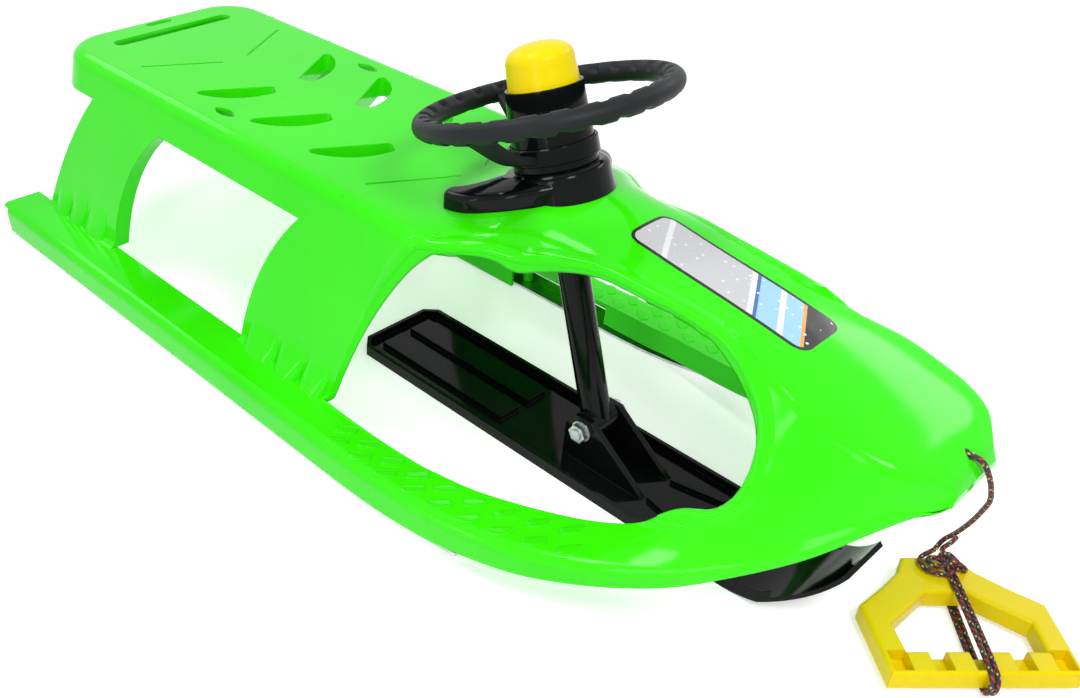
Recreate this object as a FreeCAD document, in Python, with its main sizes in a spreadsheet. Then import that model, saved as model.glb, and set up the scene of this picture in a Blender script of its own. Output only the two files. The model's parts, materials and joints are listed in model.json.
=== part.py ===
"""Child's steering sled: one moulded body on two steel runners, with a raked steering column,
a front ski, a horn in the wheel hub and a pull rope with its handle.

Millimetres. +X points to the nose, +Y to the sled's left, +Z up. Every piece is drawn with x
measured from the rear ends of the runners, and is then placed so that the origin lies on the
ground under the middle of the sled.
"""
import FreeCAD, Part
import math
import os
import re
import Sketcher
from types import SimpleNamespace
from FreeCAD import Placement, Rotation, Vector

# Driving dimensions
SIZES = {
    # whole sled
    "sled_length": 1035,
    "sled_width": 402,
    "deck_height": 220,
    "cut_overrun": 5,
    # moulded body
    "wall": 3.5,
    "straight_length": 485,
    "lead_length": 60,
    "station_pitch": 16,
    "deck_width": 238,
    "deck_rear_gap": 40,
    "deck_corner_radius": 50,
    "deck_edge_radius": 14,
    "skirt_depth": 39,
    "runner_height": 35,
    "runner_flange_width": 44,
    "runner_lip_draft": 1.5,
    "runner_rear_overhang": 10,
    "foot_radius": 8,
    "rim_radius": 9,
    "leg_depth": 18,
    "lip_depth": 24,
    "rib_thick": 3,
    "deck_rib_depth": 14,
    "runner_rib_pitch": 90,
    # openings in the deck
    "slot_start": 251,
    "slot_pitch": 89,
    "slot_tip_offset": 88,
    "slot_length": 84,
    "slot_belly": 24,
    "slot_end_width": 17,
    "slot_corner_radius": 5,
    "slot_depth": 20,
    "slot_angle": 59.7,
    "groove_width": 3,
    "groove_depth": 1.2,
    "drain_length": 30,
    "drain_width": 13,
    "drain_x": 315,
    "drain_offset": 91,
    "hand_slot_length": 150,
    "hand_slot_width": 17,
    "hand_slot_x": 88,
    "rear_slot_length": 32,
    "rear_slot_width": 9,
    "rear_slot_x": 58,
    "rope_hole_radius": 3,
    "rope_hole_height": 184.5,
    # steel runners
    "strip_thick": 3,
    "strip_width": 32,
    "strip_edge_gap": 6,
    "strip_rear_gap": 14,
    "strip_flat_length": 606,
    "strip_rise_radius": 588,
    "strip_rise_angle": 12.5,
    "screw_radius": 2,
    "screw_head_radius": 4,
    "screw_recess": 0.2,
    "screw_length": 14,
    "screw_boss_radius": 5.5,
    "fit_gap": 0.05,
    # steering axis and column
    "wheel_height": 309,
    "wheel_x": 637,
    "rake_angle": 18.8,
    "column_radius": 13.5,
    "column_wall": 3,
    "column_top_drop": 14,
    "guide_radius": 24,
    "guide_bottom_drop": 124,
    "guide_top_drop": 74,
    "bush_radius": 17,
    "bush_flange_radius": 20,
    "bush_flange_thick": 3,
    "bush_length": 16,
    "keeper_radius": 17.5,
    "keeper_thick": 2.5,
    "running_gap": 0.4,
    "foot_eye_radius": 14,
    "foot_eye_width": 30,
    # cover over the column's slot
    "cover_thick": 15,
    "cover_radius": 76,
    "cover_centre_x": 615,
    "cover_notch_radius": 64,
    "cover_notch_x": 573,
    "cover_edge_radius": 6,
    "collar_radius": 46,
    "collar_top_radius": 43,
    "collar_drop": 51,
    "collar_height": 34,
    "collar_edge_radius": 6,
    "collar_bore_gap": 1,
    "cover_tip_radius": 9,
    "cover_screw_x": 612,
    "cover_screw_offset": 60,
    "cover_screw_depth": 8,
    "cover_boss_depth": 8,
    "pan_head_thick": 2.5,
    # steering wheel, hub and horn
    "wheel_radius": 101,
    "rim_tube_radius": 8.8,
    "spoke_width": 22,
    "spoke_thick": 8,
    "spoke_root_drop": 38,
    "spoke_bend_radius": 60,
    "spoke_bend_drop": 28,
    "spoke_angle": 153,
    "spoke_spread": 120,
    "wheel_ring_height": 14,
    "wheel_ring_thick": 2.5,
    "hub_radius": 35,
    "hub_top_radius": 31.5,
    "hub_top_rise": 13,
    "horn_radius": 29.3,
    "horn_top_radius": 27,
    "horn_height": 34,
    "horn_seat_depth": 3,
    "horn_travel": 6,
    "horn_wall": 3.5,
    "horn_crown": 5,
    "horn_gap": 0.35,
    "horn_edge_radius": 9,
    "stem_radius": 6,
    "hub_floor_thick": 4,
    "clip_radius": 10,
    "clip_thick": 1.5,
    "bellows_radius": 13,
    "bellows_fold": 4,
    "bellows_wall": 2,
    "hub_screw_radius": 3,
    "hub_screw_drop": 22,
    # front ski
    "ski_rear_x": 463,
    "ski_flat_length": 434,
    "ski_width": 102,
    "ski_plate": 4,
    "ski_rim_height": 11,
    "ski_rim_thick": 4,
    "ski_tip_radius": 100,
    "ski_tip_angle": 63.5,
    "ski_tip_width": 46,
    "ski_tip_taper": 52,
    "ski_corner": 12,
    "ski_channel_width": 26,
    "ski_channel_gap": 12,
    "ski_channel_length": 165,
    "ski_channel_start": 16,
    "ski_channel_height": 5,
    "ski_ridge_width": 3,
    "ski_ridge_height": 4,
    "ski_ridge_near": 15,
    "ski_ridge_far": 36,
    "bracket_plate": 6,
    "bracket_side_gap": 0.7,
    "bracket_rear": 18,
    "bracket_length": 92,
    "bracket_top": 13,
    "pivot_height": 38,
    "pivot_radius": 5,
    "pivot_head_radius": 9,
    "pivot_head_thick": 6,
    "washer_radius": 10,
    "washer_thick": 1.5,
    "bolt_end": 2,
    # rope and handle
    "rope_radius": 2,
    "rope_gap": 0.4,
    "handle_length": 116,
    "handle_width": 143.5,
    "handle_top_width": 43.5,
    "handle_bottom_width": 141,
    "handle_shoulder": 50,
    "handle_thick": 18,
    "handle_top_bar": 37.5,
    "handle_side_bar": 18.5,
    "handle_grip_bar": 21,
    "handle_neck_along": 16,
    "handle_neck_half": 31,
    "handle_waist_along": 31.5,
    "handle_waist_half": 48,
    "handle_pocket": 14,
    "handle_pocket_pitch": 30,
    "handle_pocket_wall": 3,
    "handle_pocket_depth": 10,
    "handle_edge_radius": 3,
    "handle_lift": 4.6,
    "handle_x": 1006,
    "handle_y": 79,
    "handle_angle": -42.5,
    "winding_pitch": 5.5,
    "winding_start": 8,
    "winding_along": 18,
    "winding_inset": 4.5,
    "winding_slant": -10,
    "hitch_length": 28,
    "hitch_width": 34,
    "hitch_height": 12,
    "hitch_edge_radius": 5,
    "hitch_along": 10,
    "hitch_across": 7,
    "stop_knot_radius": 5,
}

doc = FreeCAD.newDocument("steering_sled")
sheet = doc.addObject("Spreadsheet::Sheet", "sizes")
for row, (name, number) in enumerate(SIZES.items(), start=1):
    sheet.set(f"A{row}", name)
    sheet.set(f"B{row}", str(number))
    sheet.setAlias(f"B{row}", name)
doc.recompute()
s = SimpleNamespace(**{name: float(sheet.get(name)) for name in SIZES})

HALF_WIDTH = s.sled_width / 2
DECK_HALF = s.deck_width / 2
FOOT_Y = HALF_WIDTH - s.runner_flange_width
SKIRT_Z = s.deck_height - s.skirt_depth
RAKE = math.radians(s.rake_angle)
AXIS = Vector(-math.sin(RAKE), 0, math.cos(RAKE))
WHEEL_CENTRE = Vector(s.wheel_x, 0, s.wheel_height)
WALL_SLANT = 1 / math.cos(math.atan2(FOOT_Y - DECK_HALF, s.deck_height - s.runner_height))
TO_MIDDLE = Vector(-s.sled_length / 2, 0, 0)
UP = Vector(0, 0, 1)
FORWARD = Vector(1, 0, 0)
LEFT = Vector(0, 1, 0)
CORNER_SHARE = 0.45

# Hood and nose: stations along the sled as shares of its length, half width and deck height.
# Each has x, crown height, crown half width, and the (y, z) corners of one side: crown slope,
# shoulder, foot of the wall, rim of the runner and lower edge.
HOOD_STATION_SHARES = (
    (0.556, 1.007, 0.224, (0.448, 1.002), (0.592, 0.995), (0.781, 0.159), (1.000, 0.159), (0.993, 0.014)),
    (0.589, 1.055, 0.274, (0.458, 1.009), (0.587, 0.982), (0.781, 0.161), (1.000, 0.164), (0.993, 0.0145)),
    (0.618, 1.109, 0.348, (0.458, 1.027), (0.562, 0.964), (0.781, 0.164), (0.998, 0.168), (0.990, 0.0165)),
    (0.643, 1.136, 0.338, (0.418, 1.045), (0.502, 0.968), (0.776, 0.168), (0.995, 0.173), (0.988, 0.0225)),
    (0.667, 1.141, 0.249, (0.348, 1.045), (0.408, 0.986), (0.761, 0.182), (0.993, 0.180), (0.985, 0.0345)),
    (0.696, 1.132, 0.209, (0.289, 1.059), (0.358, 1.009), (0.741, 0.195), (0.985, 0.195), (0.978, 0.0535)),
    (0.734, 1.105, 0.179, (0.249, 1.073), (0.318, 1.041), (0.701, 0.223), (0.968, 0.223), (0.960, 0.091)),
    (0.773, 1.073, 0.169, (0.239, 1.052), (0.301, 1.036), (0.652, 0.264), (0.935, 0.255), (0.928, 0.136)),
    (0.821, 1.036, 0.169, (0.239, 1.027), (0.294, 1.018), (0.587, 0.345), (0.853, 0.300), (0.846, 0.202)),
    (0.870, 0.995, 0.169, (0.239, 0.984), (0.299, 0.973), (0.557, 0.445), (0.714, 0.350), (0.706, 0.277)),
    (0.913, 0.955, 0.189, (0.274, 0.945), (0.348, 0.930), (0.517, 0.505), (0.567, 0.441), (0.562, 0.400)),
    (0.947, 0.916, 0.184, (0.269, 0.909), (0.338, 0.895), (0.423, 0.614), (0.453, 0.564), (0.448, 0.532)),
    (0.971, 0.884, 0.159, (0.239, 0.880), (0.299, 0.870), (0.318, 0.709), (0.336, 0.686), (0.331, 0.648)),
    (0.982, 0.864, 0.139, (0.209, 0.860), (0.254, 0.852), (0.264, 0.732), (0.276, 0.714), (0.271, 0.695)),
    (1.000, 0.775, 0.090, (0.125, 0.775), (0.150, 0.771), (0.155, 0.762), (0.163, 0.754), (0.160, 0.742)),
)
# Plan of the teardrop opening beside the hood, from its sharp corner at the front leg, forward
# along the footrest, round the front and back along the hood (shares of length and half width).
FOOT_OPENING_SHARES = (
    (0.523, 0.794), (0.570, 0.799), (0.628, 0.794), (0.696, 0.759), (0.773, 0.669), (0.821, 0.602),
    (0.858, 0.532), (0.881, 0.505), (0.889, 0.456), (0.885, 0.396), (0.873, 0.348), (0.850, 0.311),
    (0.821, 0.289), (0.773, 0.296), (0.734, 0.311), (0.691, 0.361), (0.662, 0.423), (0.623, 0.527),
    (0.589, 0.602), (0.560, 0.664), (0.536, 0.736), (0.523, 0.794),
)
# Edges of the legs in side view, from runner to skirt (shares of length and of leg height).
REAR_LEG_BACK_SHARES = ((0.035, 0.0), (0.065, 0.49), (0.115, 1.0))
REAR_LEG_FRONT_SHARES = ((0.170, 0.0), (0.190, 0.60), (0.239, 1.0))
FRONT_LEG_BACK_SHARES = ((0.396, 0.0), (0.413, 0.53), (0.456, 1.0))
STRIP_SCREW_SHARES = (0.08, 0.42, 0.78)
LEAD_SHARES = (0.0, 0.5, 1.0)
DECK_RIB_SHARES = (0.115, 0.215, 0.345, 0.43, 0.50)
BELLY_SHARE = 0.48
SLOT_COUNT = 3
LIP_END_SHARES = (0.585, 0.83)


def mirrored(shape):
    return shape.mirror(Vector(), LEFT)


def both_sides(shape):
    return [shape, mirrored(shape)]


def box(x, y, z):
    """A box from three (low, high) pairs."""
    low = Vector(x[0], y[0], z[0])
    return Part.makeBox(x[1] - x[0], y[1] - y[0], z[1] - z[0], low)


def on_axis(rise):
    """The point of the steering axis that lies rise above the wheel's plane, along the axis."""
    return WHEEL_CENTRE + AXIS * rise


def wall_y(z):
    """Half width of the sloping side walls at height z."""
    drop_share = (s.deck_height - z) / (s.deck_height - s.runner_height)
    return DECK_HALF + (FOOT_Y - DECK_HALF) * drop_share


# Moulded body

def measured_rows():
    """Rows of the front half as plain numbers: the deck's own section, then the hood and nose."""
    deck = [
        s.deck_height, DECK_HALF * CORNER_SHARE,
        DECK_HALF - 2 * s.deck_edge_radius, s.deck_height, DECK_HALF, s.deck_height,
        FOOT_Y, s.runner_height, HALF_WIDTH, s.runner_height,
        HALF_WIDTH - s.runner_lip_draft, s.strip_thick,
    ]
    rows = [[s.straight_length + share * s.lead_length] + deck for share in LEAD_SHARES]
    for x, crown_z, crown_y, *side in HOOD_STATION_SHARES:
        row = [x * s.sled_length, crown_z * s.deck_height, crown_y * HALF_WIDTH]
        for y, z in side:
            row += [y * HALF_WIDTH, z * s.deck_height]
        rows.append(row)
    return rows


def smooth_slopes(xs, values):
    """Slopes of a curve through the values that never overshoots them."""
    steps = [(b - a) / (x1 - x0) for x0, x1, a, b in zip(xs, xs[1:], values, values[1:])]
    slopes = [steps[0]]
    for before, after in zip(steps, steps[1:]):
        slopes.append(2 * before * after / (before + after) if before * after > 0 else 0)
    return slopes + [steps[-1]]


def between(x, x0, x1, a, b, slope_a, slope_b):
    """Value at x on the cubic between two rows."""
    span = x1 - x0
    t = (x - x0) / span
    rise = t * t * (3 - 2 * t)
    lean = slope_a * t * (1 - t) ** 2 - slope_b * t * t * (1 - t)
    return a + (b - a) * rise + lean * span


def stations():
    """Cross-sections of the front half, with smooth rows put in where the measured ones lie far apart."""
    rows = measured_rows()
    xs = [row[0] for row in rows]
    slopes = list(zip(*[smooth_slopes(xs, column) for column in zip(*rows)]))
    dense = []
    for index, (row, after) in enumerate(zip(rows, rows[1:])):
        count = max(1, round((after[0] - row[0]) / s.station_pitch))
        for step in range(count):
            x = row[0] + (after[0] - row[0]) * step / count
            pairs = zip(row, after, slopes[index], slopes[index + 1])
            dense.append([between(x, row[0], after[0], *pair) for pair in pairs])
    dense.append(rows[-1])
    return [
        SimpleNamespace(x=row[0], crown_z=row[1], crown_y=row[2], side=list(zip(row[3::2], row[4::2])))
        for row in dense
    ]


def inset_line(points, depth):
    """An open polyline moved sideways into the body by depth."""
    moved = []
    for start, end in zip(points, points[1:]):
        along = (end - start).normalize()
        across = Vector(0, along.z, -along.y) * depth
        moved.append((start + across, end + across))
    corners = [moved[0][0]]
    for (a, b), (c, d) in zip(moved, moved[1:]):
        first, second = b - a, d - c
        cross = first.y * second.z - first.z * second.y
        share = ((c.y - a.y) * second.z - (c.z - a.z) * second.y) / cross
        corners.append(a + first * share)
    corners.append(moved[-1][1])
    return corners


def rounded_line(points, radii):
    """Lines and arcs along an open polyline, each inner corner rounded as far as it has room."""
    edges, start = [], points[0]
    for before, corner, after, radius in zip(points, points[1:], points[2:], radii):
        into, out = corner - before, after - corner
        room = CORNER_SHARE * min(into.Length, out.Length)
        half_turn = into.getAngle(out) / 2
        reach = min(radius * math.tan(half_turn), room)
        into.normalize()
        out.normalize()
        arc_radius = reach / math.tan(half_turn)
        arc_start, arc_end = corner - into * reach, corner + out * reach
        to_centre = (out - into).normalize()
        middle = corner + to_centre * (arc_radius / math.cos(half_turn) - arc_radius)
        edges.append(Part.LineSegment(start, arc_start))
        edges.append(Part.Arc(arc_start, middle, arc_end))
        start = arc_end
    edges.append(Part.LineSegment(start, points[-1]))
    return edges


def section(station, depth, nose_shift):
    """Closed cross-section at a station, moved inwards by depth. The crown is one smooth curve."""
    x = station.x - nose_shift
    side = [Vector(x, y, z) for y, z in station.side]
    radii = [s.deck_edge_radius, s.foot_radius, s.rim_radius]
    if depth:
        side = inset_line(side, depth)
        side[-1] = side[-1] - UP * s.cut_overrun
        radii = [s.deck_edge_radius - depth, s.foot_radius + depth, s.rim_radius - depth]
    edges = rounded_line(side, radii)[1:]
    slope, tangent = side[0], edges[0].StartPoint
    crown_z = station.crown_z - depth
    # height of the middle poles that brings a six-degree crown curve through crown_z
    pole_z = (64 * crown_z - 2 * tangent.z - 12 * slope.z) / 50
    half = [tangent, slope, Vector(x, station.crown_y, pole_z)]
    flip = [Vector(p.x, -p.y, p.z) for p in half]
    crown = Part.BezierCurve()
    crown.setPoles(half + [Vector(x, 0, pole_z)] + flip[::-1])
    right = [edge.toShape() for edge in edges][::-1]
    left = [mirrored(edge.toShape()) for edge in edges]
    low = side[-1]
    floor = Part.LineSegment(Vector(x, -low.y, low.z), low).toShape()
    return Part.Wire(Part.__sortEdges__(right + [crown.toShape()] + left + [floor]))


def front_half(depth):
    """The hood, nose and front of the runners as one loft, moved inwards by depth."""
    rows = stations()
    last = len(rows) - 1
    wires = [section(row, depth, 2 * depth if i == last else 0) for i, row in enumerate(rows)]
    return Part.makeLoft(wires, True)


def deck_outline(z, depth):
    """Plan of the deck block at height z: straight sides, round rear corners."""
    half = wall_y(z) - depth * WALL_SLANT
    spread = half - DECK_HALF
    rear = s.deck_rear_gap - spread
    radius = s.deck_corner_radius + spread
    inner_x, inner_y = rear + radius, half - radius
    diagonal = radius * math.sqrt(0.5)
    front_left, front_right = Vector(s.straight_length, half, z), Vector(s.straight_length, -half, z)
    left, right = Vector(inner_x, half, z), Vector(inner_x, -half, z)
    rear_left, rear_right = Vector(rear, inner_y, z), Vector(rear, -inner_y, z)
    left_mid = Vector(inner_x - diagonal, inner_y + diagonal, z)
    right_mid = Vector(inner_x - diagonal, -inner_y - diagonal, z)
    edges = [
        Part.LineSegment(front_right, right),
        Part.Arc(right, right_mid, rear_right),
        Part.LineSegment(rear_right, rear_left),
        Part.Arc(rear_left, left_mid, left),
        Part.LineSegment(left, front_left),
        Part.LineSegment(front_left, front_right),
    ]
    return Part.Wire([edge.toShape() for edge in edges])


def deck_block(depth, low_z):
    """The seat with its drafted skirt and a rounded edge, from low_z up."""
    top_z = s.deck_height - depth
    block = Part.makeLoft([deck_outline(low_z, depth), deck_outline(top_z, depth)], True, True)
    rim = [
        edge
        for edge in block.Edges
        if abs(edge.BoundBox.ZMin - top_z) < s.fit_gap and edge.BoundBox.XMin < s.straight_length - s.wall
        and abs(edge.BoundBox.ZMax - top_z) < s.fit_gap
    ]
    return block.makeFillet(s.deck_edge_radius - depth, rim)


def prism(outline, direction):
    return Part.Face(outline).extrude(direction)


def side_polygon(points):
    """A closed outline in the (y, z) plane at the rear ends of the runners."""
    corners = [Vector(-s.cut_overrun, y, z) for y, z in points]
    return Part.makePolygon(corners + corners[:1])


def rear_lower():
    """Side walls, footrests and runner lips under the deck, as a solid block."""
    first = section(stations()[0], 0, 0)
    block = prism(first, FORWARD * -s.straight_length)
    below = box((0, s.straight_length), (-HALF_WIDTH, HALF_WIDTH), (0, SKIRT_Z))
    return block.common(below)


def rear_hollows():
    """The space under the deck and the two runner channels."""
    slope_gap = s.wall * WALL_SLANT
    low, foot = -s.cut_overrun, FOOT_Y - slope_gap
    waist = wall_y(SKIRT_Z) - slope_gap
    tunnel = side_polygon(
        [(-foot, low), (foot, low), (foot, s.runner_height), (waist, SKIRT_Z), (-waist, SKIRT_Z),
         (-foot, s.runner_height)]
    )
    length = FORWARD * (s.straight_length + s.cut_overrun)
    channel = box(
        (-s.cut_overrun, s.straight_length),
        (FOOT_Y, HALF_WIDTH - s.runner_lip_draft - s.wall),
        (low, s.runner_height - s.wall),
    )
    seat = deck_block(s.wall, SKIRT_Z - s.cut_overrun)
    return [prism(tunnel, length), seat] + both_sides(channel)


def leg_edge(shares):
    """Arc of a leg's edge in side view."""
    tall = SKIRT_Z - s.runner_height
    return [Vector(x * s.sled_length, 0, s.runner_height + z * tall) for x, z in shares]


def across_sled(points):
    """A cut right across the sled, between two legs, from arcs and lines in side view."""
    edges = []
    for item in points:
        edges.append((Part.Arc(*item) if len(item) == 3 else Part.LineSegment(*item)).toShape())
    reach = HALF_WIDTH + s.cut_overrun
    face = Part.Face(Part.Wire(Part.__sortEdges__(edges)))
    face.translate(LEFT * -reach)
    return face.extrude(LEFT * 2 * reach)


def leg_cuts():
    """The window between the legs and the space behind the rear leg."""
    rear, front = leg_edge(REAR_LEG_FRONT_SHARES), leg_edge(FRONT_LEG_BACK_SHARES)
    back = leg_edge(REAR_LEG_BACK_SHARES)
    far_low = Vector(-s.cut_overrun, 0, s.runner_height)
    far_high = Vector(-s.cut_overrun, 0, SKIRT_Z)
    window = across_sled([rear, (rear[2], front[2]), front, (front[0], rear[0])])
    behind = across_sled([back, (back[2], far_high), (far_high, far_low), (far_low, back[0])])
    return [window, behind]


def leg_returns():
    """Flanges that turn in along the edges of the legs."""
    returns = []
    tall = (s.runner_height - s.wall, SKIRT_Z + s.wall)
    slab_corners = [
        (wall_y(tall[0]), tall[0]), (wall_y(tall[1]), tall[1]),
        (wall_y(tall[1]) - s.leg_depth, tall[1]), (wall_y(tall[0]) - s.leg_depth, tall[0]),
    ]
    slab = prism(side_polygon(slab_corners), FORWARD * s.straight_length)
    for shares, step in (
        (REAR_LEG_BACK_SHARES, s.wall), (REAR_LEG_FRONT_SHARES, -s.wall), (FRONT_LEG_BACK_SHARES, s.wall)
    ):
        edge = leg_edge(shares)
        shifted = [p + FORWARD * step for p in edge]
        band = across_sled([edge, (edge[2], shifted[2]), shifted, (shifted[0], edge[0])])
        returns += both_sides(band.common(slab))
    return returns


def foot_opening():
    """The teardrop opening for one foot, cut straight down."""
    points = [Vector(x * s.sled_length, y * HALF_WIDTH, -s.cut_overrun) for x, y in FOOT_OPENING_SHARES]
    curve = Part.BSplineCurve()
    curve.interpolate(points)
    return prism(Part.Wire([curve.toShape()]), UP * (s.deck_height + s.wheel_height))


def footrest_lip():
    """The lip that hangs from the footrest's inner edge, beside the foot opening."""
    wires = []
    start, end = [share * s.sled_length for share in LIP_END_SHARES]
    for row in [row for row in stations() if start <= row.x <= end]:
        y, z = row.side[2]
        inner, outer = y - s.wall, y + s.wall * 2
        corners = [
            Vector(row.x, inner, z - s.wall / 2), Vector(row.x, outer, z - s.wall / 2),
            Vector(row.x, outer, z - s.lip_depth), Vector(row.x, inner, z - s.lip_depth),
        ]
        wires.append(Part.makePolygon(corners + corners[:1]))
    return Part.makeLoft(wires, True)


def blade_outline(grow):
    """Leaf-shaped deck slot in its own frame: straight back, curved belly, blunt inner end."""
    tip, heel = Vector(0, 0, 0), Vector(s.slot_length, 0, 0)
    toe = Vector(s.slot_length, -s.slot_end_width, 0)
    belly = Vector(s.slot_length * BELLY_SHARE, -s.slot_belly, 0)
    edges = [Part.LineSegment(tip, heel), Part.LineSegment(heel, toe), Part.Arc(toe, belly, tip)]
    wire = Part.Wire([edge.toShape() for edge in edges])
    face = prism(wire, UP)
    uprights = [e for e in face.Edges if abs(e.tangentAt(e.FirstParameter).z) > CORNER_SHARE]
    rounded = face.makeFillet(s.slot_corner_radius, uprights)
    base = min(rounded.Faces, key=lambda f: f.CenterOfMass.z)
    return base.OuterWire.makeOffset2D(grow) if grow else base.OuterWire


def round_slot(length, width):
    """A slot with round ends, lying along y."""
    half, radius = length / 2 - width / 2, width / 2
    a, b = Vector(-radius, half, 0), Vector(radius, half, 0)
    c, d = Vector(radius, -half, 0), Vector(-radius, -half, 0)
    edges = [
        Part.Arc(a, Vector(0, half + radius, 0), b), Part.LineSegment(b, c),
        Part.Arc(c, Vector(0, -half - radius, 0), d), Part.LineSegment(d, a),
    ]
    return Part.Wire([edge.toShape() for edge in edges])


def lens(length, width):
    """A small pointed drain hole, lying along x."""
    a, b = Vector(-length / 2, 0, 0), Vector(length / 2, 0, 0)
    edges = [Part.Arc(a, Vector(0, width / 2, 0), b), Part.Arc(b, Vector(0, -width / 2, 0), a)]
    return Part.Wire([edge.toShape() for edge in edges])


def blade_place(index, z):
    """Where a leaf-shaped slot lies: the first is 0, and each lies one pitch further forward."""
    tip = Vector(s.slot_start + index * s.slot_pitch, -s.slot_tip_offset, z)
    return Placement(tip, Rotation(UP, s.slot_angle))


def deck_grooves():
    """Shallow grooves that carry the row of slots on by one pitch at each end."""
    grooves = []
    for index in (-1, SLOT_COUNT):
        groove = box((0, s.slot_length), (-s.groove_width, 0), (-s.groove_depth, s.cut_overrun))
        groove.Placement = blade_place(index, s.deck_height)
        grooves += both_sides(groove)
    return grooves


def deck_openings():
    """Cuts through the deck and the skirts that hang round the leaf-shaped ones."""
    cuts, skirts = deck_grooves(), []
    through = s.slot_depth + s.deck_rib_depth
    for index in range(SLOT_COUNT):
        for grow, keep, low, high in (
            (0, cuts, s.deck_height - through, s.deck_height + s.cut_overrun),
            (s.wall, skirts, s.deck_height - s.slot_depth, s.deck_height - s.wall / 2),
        ):
            solid = prism(blade_outline(grow), UP * (high - low))
            solid.Placement = blade_place(index, low)
            keep += both_sides(solid)
    low = Vector(0, 0, s.deck_height - through)
    tall = UP * (through + s.cut_overrun)
    for wire, x, y in (
        (round_slot(s.hand_slot_length, s.hand_slot_width), s.hand_slot_x, 0),
        (round_slot(s.rear_slot_length, s.rear_slot_width), s.rear_slot_x, 0),
        (lens(s.drain_length, s.drain_width), s.drain_x, s.drain_offset),
        (lens(s.drain_length, s.drain_width), s.drain_x, -s.drain_offset),
    ):
        solid = prism(wire, tall)
        solid.translate(low + Vector(x, y, 0))
        cuts.append(solid)
    return cuts, skirts


def strip_y():
    """Middle of a steel runner strip."""
    return HALF_WIDTH - s.strip_edge_gap - s.strip_width / 2


def screw_places():
    """Where the strips are screwed to the runners (x, y)."""
    return [
        (s.strip_rear_gap + share * s.strip_flat_length, side * strip_y())
        for share in STRIP_SCREW_SHARES
        for side in (1, -1)
    ]


def ribs():
    """Ribs under the deck and in the runner channels, and the bosses for the strip screws."""
    solids = []
    for share in DECK_RIB_SHARES:
        x = share * s.sled_length
        reach = wall_y(s.deck_height) - s.wall
        high = s.deck_height - s.wall / 2
        solids.append(box((x, x + s.rib_thick), (-reach, reach), (high - s.deck_rib_depth, high)))
    channel = (FOOT_Y - s.wall / 2, HALF_WIDTH - s.runner_lip_draft - s.wall / 2)
    tall = (s.strip_thick, s.runner_height - s.wall / 2)
    x = s.runner_rib_pitch / 2
    while x < s.straight_length - s.rib_thick:
        solids += both_sides(box((x, x + s.rib_thick), channel, tall))
        x += s.runner_rib_pitch
    for x, y in screw_places():
        post = Part.makeCylinder(s.screw_boss_radius, tall[1] - tall[0], Vector(x, y, tall[0]))
        solids.append(post)
    return solids


def axis_cylinder(radius, low, high):
    """A cylinder on the steering axis between two rises above the wheel's plane."""
    return Part.makeCylinder(radius, high - low, on_axis(low), AXIS)


def top_z(shape, x, y):
    """Height of a shape's upper surface over (x, y)."""
    line = Part.makeLine(Vector(x, y, 0), Vector(x, y, s.deck_height + s.wheel_height))
    return max(vertex.Z for vertex in shape.common(line).Vertexes)


def cover_screw_seat(outer):
    """Height of the hood over a cover screw."""
    return top_z(outer, s.cover_screw_x, s.cover_screw_offset)


def cover_screw_post(outer, radius, low, high):
    """Cylinders at both cover screws, between heights measured from the hood's surface."""
    seat = cover_screw_seat(outer)
    post = Part.makeCylinder(radius, high - low, Vector(s.cover_screw_x, s.cover_screw_offset, seat + low))
    return both_sides(post)


def guide_tube(outer):
    """The column's guide under the hood."""
    return axis_cylinder(s.guide_radius, -s.guide_bottom_drop, 0).common(outer)


def shell_holes(outer):
    """Bores for the bushes, the rope and every screw."""
    bore = axis_cylinder(s.bush_radius, -s.guide_bottom_drop - s.cut_overrun, 0)
    seat = axis_cylinder(s.bush_flange_radius + s.fit_gap, -s.guide_top_drop, 0)
    hole_start = Vector(s.sled_length - s.skirt_depth, 0, s.rope_hole_height)
    rope_hole = Part.makeCylinder(s.rope_hole_radius, s.skirt_depth, hole_start, FORWARD)
    pilot = s.screw_radius + s.fit_gap
    pilots = [
        Part.makeCylinder(pilot, s.screw_recess + s.screw_length + s.running_gap, Vector(x, y, 0))
        for x, y in screw_places()
    ]
    pilots += cover_screw_post(outer, pilot, -s.cover_boss_depth - s.cut_overrun, s.cut_overrun)
    return [bore, seat, rope_hole] + pilots


def body_shell():
    """The moulded body, and the solid form of its outside that the cover is fitted to."""
    outer = rear_lower().fuse([deck_block(0, SKIRT_Z), front_half(0)])
    shell = outer.cut(rear_hollows() + [front_half(s.wall)])
    cuts, skirts = deck_openings()
    lips = [lip.common(outer) for lip in both_sides(footrest_lip())]
    bosses = cover_screw_post(outer, s.screw_boss_radius, -s.cover_boss_depth, -s.wall / 2)
    shell = shell.fuse(leg_returns() + lips + skirts + ribs() + bosses + [guide_tube(outer)])
    rear_end = box(
        (-s.cut_overrun, s.runner_rear_overhang),
        (-HALF_WIDTH, HALF_WIDTH),
        (-s.cut_overrun, s.runner_height - s.wall),
    )
    cuts += leg_cuts() + both_sides(foot_opening()) + shell_holes(outer) + [rear_end]
    return outer, shell.cut(cuts).removeSplitter()


# Helpers for the pieces drawn with sketches

PIECES = []
ON_AXIS = Placement(WHEEL_CENTRE + TO_MIDDLE, Rotation(LEFT, -s.rake_angle))


def bound(text):
    """A sum of size names as an expression of the sheet."""
    return re.sub(r"[a-z_]+", lambda word: f"sizes.{word[0]}" if word[0] in SIZES else word[0], text)


def feature(label, shape):
    """A finished sub-part from a shape drawn from the sled's rear end."""
    obj = doc.addObject("Part::Feature", label)
    obj.Shape = shape
    obj.Placement = Placement(TO_MIDDLE, Rotation())
    PIECES.append(obj)
    return obj


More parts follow.
